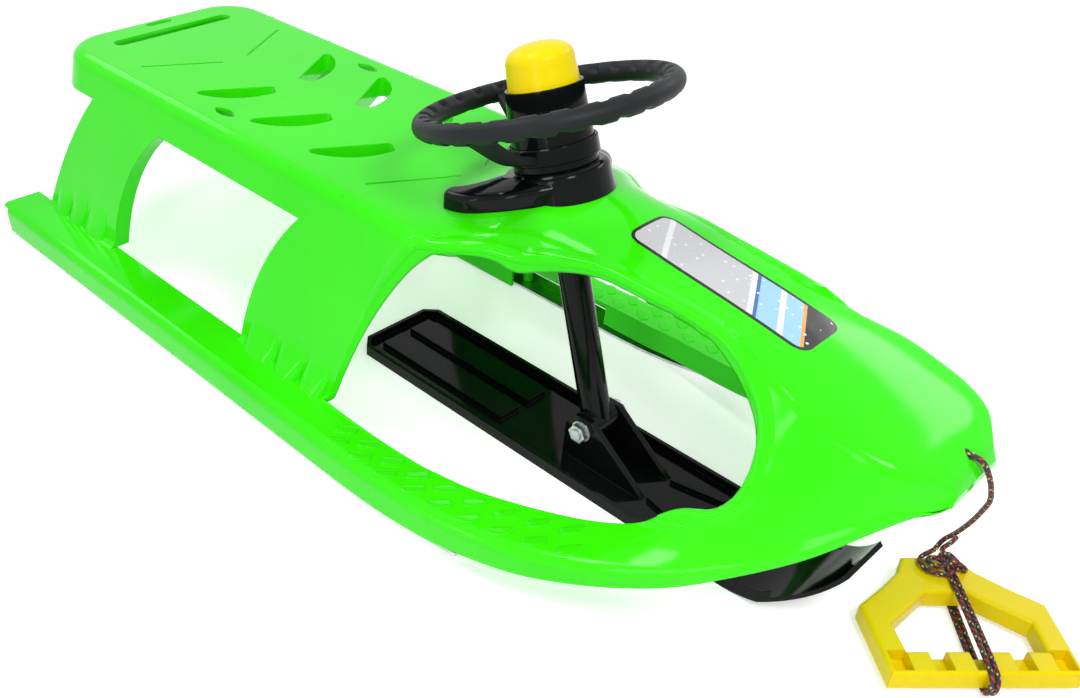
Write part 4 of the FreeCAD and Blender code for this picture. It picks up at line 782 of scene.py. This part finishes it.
def roll_rings(side):
    line = route_line([at(x, side * y, 0) for x, y in OPENING_EDGE_MM], ROLL_STEP)
    rings = []
    for i, spot in enumerate(line):
        ahead = heading(line, i)
        out = Vector((-ahead.y, ahead.x, 0)) * side
        edge = opening_edge(spot, out)
        inside = edge + out * EDGE_INSET
        ground = on_shell(inside.x, inside.y)
        _, normal, _, _ = shell_tree.find_nearest(ground)
        into = (out - normal * out.dot(normal)).normalized()
        start = ground - into * (EDGE_INSET / max(into.dot(out), EDGE_LEAST_SLOPE))
        share = i / (len(line) - 1)
        fade = min(1.0, share / ROLL_FADE, (1 - share) / ROLL_FADE)
        fade = fade * fade * (3 - 2 * fade)
        width = ROLL_END_WIDTH + (1 - ROLL_END_WIDTH) * fade
        ring = []
        for d, h in ROLL_SECTION_MM:
            point, up = start + into * d * MM * width, normal
            if d > ROLL_DRAPED_MM[0] and h > ROLL_DRAPED_MM[1]:
                point, up, _, _ = shell_tree.find_nearest(point)
            ring.append(point + up * roll_height(h, fade) * MM)
        rings.append(facing_out(ring, side))
    return rings


for side, label in ((-1, "right"), (1, "left")):
    roll = skin(roll_rings(side))
    piece(f"foot_opening_roll_{label}", "sled", GREEN_ROLL, "green_plastic", *roll, sharp_deg=ROLL_SHARP_DEG)


# Label on the hood: a plain sticker with a border and slanting bands

LABEL_SPAN_MM = (748, 909)
LABEL_HALF = 0.026
LABEL_CORNER = 0.011
LABEL_BORDER = 0.0028
LABEL_GRID = (80, 28)
LABEL_LIFT = 0.00025
LABEL_SHARP_DEG = 60
LABEL_SLANT = 0.55
LABEL_DOT_SCALE = 150.0
LABEL_DOT_REACH = 0.18
SILVER, SKY, WHITE = (0.60, 0.61, 0.63), (0.36, 0.66, 0.88), (0.86, 0.88, 0.90)
BLUE, ORANGE, INK = (0.06, 0.17, 0.52), (0.86, 0.42, 0.10), (0.010, 0.010, 0.011)
LABEL_BANDS = (
    (0.0, SILVER), (0.12, WHITE), (0.15, SILVER), (0.60, WHITE), (0.63, BLUE), (0.65, SKY),
    (0.76, WHITE), (0.79, SKY), (0.88, ORANGE), (0.90, INK),
)


def label_material():
    """Printed film: slanting bands and dots inside a dark border with round corners."""
    material, tree, shader = new_material("hood_label")
    split = add(tree, "ShaderNodeSeparateXYZ", {"Vector": add(tree, "ShaderNodeUVMap").outputs["UV"]})
    along, across = split.outputs["X"], split.outputs["Y"]
    half_length = (LABEL_SPAN_MM[1] - LABEL_SPAN_MM[0]) * MM / 2
    corner = LABEL_CORNER - LABEL_BORDER
    gaps = []
    for value, half in ((along, half_length), (across, LABEL_HALF)):
        over = maths(tree, "SUBTRACT", maths(tree, "ABSOLUTE", value), half - LABEL_BORDER - corner)
        gaps.append(maths(tree, "MAXIMUM", over, 0.0))
    reach = maths(tree, "SQRT", maths(tree, "ADD", *[maths(tree, "MULTIPLY", gap, gap) for gap in gaps]))
    outside = maths(tree, "GREATER_THAN", reach, corner)
    slant = maths(tree, "ADD", along, maths(tree, "MULTIPLY", across, LABEL_SLANT))
    share = maths(tree, "ADD", maths(tree, "DIVIDE", slant, 2 * half_length), 0.5)
    bands = ramp(tree, share, LABEL_BANDS, "CONSTANT")
    place = add(tree, "ShaderNodeTexCoord").outputs["Object"]
    cells = {"Vector": place, "Scale": LABEL_DOT_SCALE}
    flakes = add(tree, "ShaderNodeTexVoronoi", cells).outputs["Distance"]
    dots = maths(tree, "LESS_THAN", flakes, LABEL_DOT_REACH)
    printed = mix(tree, dots, bands, WHITE)
    tree.links.new(mix(tree, outside, printed, INK), shader.inputs["Base Color"])
    film = noise(tree, place, scale=60.0, detail=4.0)
    tree.links.new(remap(tree, film, 0.18, 0.32), shader.inputs["Roughness"])
    tree.links.new(bump(tree, film, strength=0.04, distance=0.0004), shader.inputs["Normal"])
    return material


def label_grid():
    """A sheet of even thickness that follows the hood, with round corners."""
    start, end = (at(x, 0, 0).x for x in LABEL_SPAN_MM)
    middle, half = (start + end) / 2, (end - start) / 2
    columns, rows = LABEL_GRID
    vertices, uvs_of, faces, uvs = [], [], [], []
    for j in range(rows + 1):
        y = LABEL_HALF * (2 * j / rows - 1)
        over = max(0.0, abs(y) - LABEL_HALF + LABEL_CORNER)
        cut = LABEL_CORNER - math.sqrt(max(0.0, LABEL_CORNER ** 2 - over ** 2))
        for i in range(columns + 1):
            u = (half - cut) * (2 * i / columns - 1)
            vertices.append(on_shell(middle + u, y) + Vector((0, 0, LABEL_LIFT)))
            uvs_of.append((u, y))
    wide, count = columns + 1, len(vertices)
    vertices += [vertex - Vector((0, 0, 2 * LABEL_LIFT)) for vertex in vertices]
    uvs_of += uvs_of
    for j in range(rows):
        for i in range(columns):
            a = j * wide + i
            top = (a, a + 1, a + wide + 1, a + wide)
            faces += [top, tuple(count + k for k in reversed(top))]
    rim = list(range(wide)) + [wide * j + columns for j in range(1, rows + 1)]
    rim += [wide * rows + i for i in range(columns - 1, -1, -1)] + [wide * j for j in range(rows - 1, 0, -1)]
    faces += [(a, count + a, count + b, b) for a, b in zip(rim, rim[1:] + rim[:1])]
    for face in faces:
        uvs += [uvs_of[i] for i in face]
    return vertices, faces, uvs


piece("hood_label", "sled", label_material(), None, *label_grid(), LABEL_SHARP_DEG)


# Floor and world

FLOOR_HALF = 9.0
FLOOR_COLOUR = (0.90, 0.90, 0.90)
FLOOR_LIFT = 0.55
AMBIENT = 0.38


def seen_rays(tree):
    """1 for rays from the camera, and for those that gloss reflects or clear parts pass."""
    rays = add(tree, "ShaderNodeLightPath").outputs
    either = maths(tree, "MAXIMUM", rays["Is Camera Ray"], rays["Is Glossy Ray"])
    return maths(tree, "MAXIMUM", either, rays["Is Transmission Ray"])


def floor_material():
    """A pale floor, lifted towards white where it is seen, with the object's shadow kept."""
    material, tree, shader = new_material("floor")
    place = add(tree, "ShaderNodeTexCoord").outputs["Object"]
    dull = tuple(c * 0.98 for c in FLOOR_COLOUR)
    patches = ramp(tree, noise(tree, place, scale=1.5), ((0.3, dull), (0.7, FLOOR_COLOUR)))
    tree.links.new(patches, shader.inputs["Base Color"])
    shader.inputs["Roughness"].default_value = 0.9
    shader.inputs["Specular IOR Level"].default_value = 0.1
    shader.inputs["Emission Color"].default_value = (1, 1, 1, 1)
    lift = maths(tree, "MULTIPLY", seen_rays(tree), FLOOR_LIFT)
    tree.links.new(lift, shader.inputs["Emission Strength"])
    return material


floor_mesh = bpy.data.meshes.new("floor")
corners = [(x * FLOOR_HALF, y * FLOOR_HALF, 0) for x, y in ((-1, -1), (1, -1), (1, 1), (-1, 1))]
floor_mesh.from_pydata(corners, [], [(0, 1, 2, 3)])
floor_mesh.materials.append(floor_material())
floor = bpy.data.objects.new("floor", floor_mesh)
bpy.context.scene.collection.objects.link(floor)

world = bpy.data.worlds.new("studio")
bpy.context.scene.world = world
world.use_nodes = True
sky = world.node_tree
background = sky.nodes["Background"]
background.inputs["Color"].default_value = (1, 1, 1, 1)
glow = maths(sky, "ADD", maths(sky, "MULTIPLY", seen_rays(sky), 1 - AMBIENT), AMBIENT)
sky.links.new(glow, background.inputs["Strength"])


# Lamps

LAMPS = (
    # name, place, size, watts, aimed at
    ("overhead_softbox", (-0.45, -0.45, 1.65), (0.7, 0.35), 8.5, (0.1, 0, 0.1)),
    ("front_softbox", (0.83, -1.74, 0.73), (0.4, 0.7), 5.2, (0.1, 0, 0.1)),
    ("far_softbox", (0.5, 1.53, 1.17), (0.8, 0.3), 4.0, (0.1, 0, 0.1)),
    ("rear_softbox", (-1.7, -0.1, 1.25), (0.9, 0.4), 3.2, (0.1, 0, 0.1)),
    ("handle_softbox", (0.95, -0.35, 1.15), (0.35, 0.35), 7.5, (0.55, 0.03, 0.02)),
    ("low_strip", (-0.57, -1.59, 0.36), (0.16, 0.55), 1.6, (0.4, -0.08, 0.15)),
)
for name, place, size, watts, aim in LAMPS:
    lamp = bpy.data.lights.new(name, "AREA")
    lamp.shape = "RECTANGLE"
    lamp.size, lamp.size_y = size
    lamp.energy = watts
    holder = bpy.data.objects.new(name, lamp)
    holder.location = place
    holder.rotation_mode = "QUATERNION"
    holder.rotation_quaternion = (Vector(aim) - Vector(place)).to_track_quat("-Z", "Y")
    bpy.context.scene.collection.objects.link(holder)


# Camera, as fitted to the photograph

CAMERA_PLACE_MM = (663.0, -660.6, 655.9)
CAMERA_TURN_DEG = (45.36, 35.79, 1.82)  # azimuth, elevation, roll
CAMERA_SENSOR_MM = 36
CAMERA_LENS_MM = 37.33
CAMERA_SHIFT = (0.1044, 0.0178)
CAMERA_CLIP = (0.01, 100)


def camera_matrix():
    azimuth, elevation, roll = (math.radians(angle) for angle in CAMERA_TURN_DEG)
    level = math.cos(elevation)
    back = Vector((math.sin(azimuth) * level, -math.cos(azimuth) * level, math.sin(elevation)))
    right = Vector((math.cos(azimuth), math.sin(azimuth), 0))
    up = back.cross(right)
    across = right * math.cos(roll) + up * math.sin(roll)
    upright = up * math.cos(roll) - right * math.sin(roll)
    turn = Matrix((across, upright, back)).transposed()
    return Matrix.Translation(Vector(CAMERA_PLACE_MM) * MM) @ turn.to_4x4()


camera_data = bpy.data.cameras.new("camera")
camera_data.sensor_width = CAMERA_SENSOR_MM
camera_data.lens = CAMERA_LENS_MM
camera_data.shift_x, camera_data.shift_y = CAMERA_SHIFT
camera_data.clip_start, camera_data.clip_end = CAMERA_CLIP
camera = bpy.data.objects.new("camera", camera_data)
camera.matrix_world = camera_matrix()
bpy.context.scene.collection.objects.link(camera)
bpy.context.scene.camera = camera
bpy.context.scene.view_settings.view_transform = "Standard"
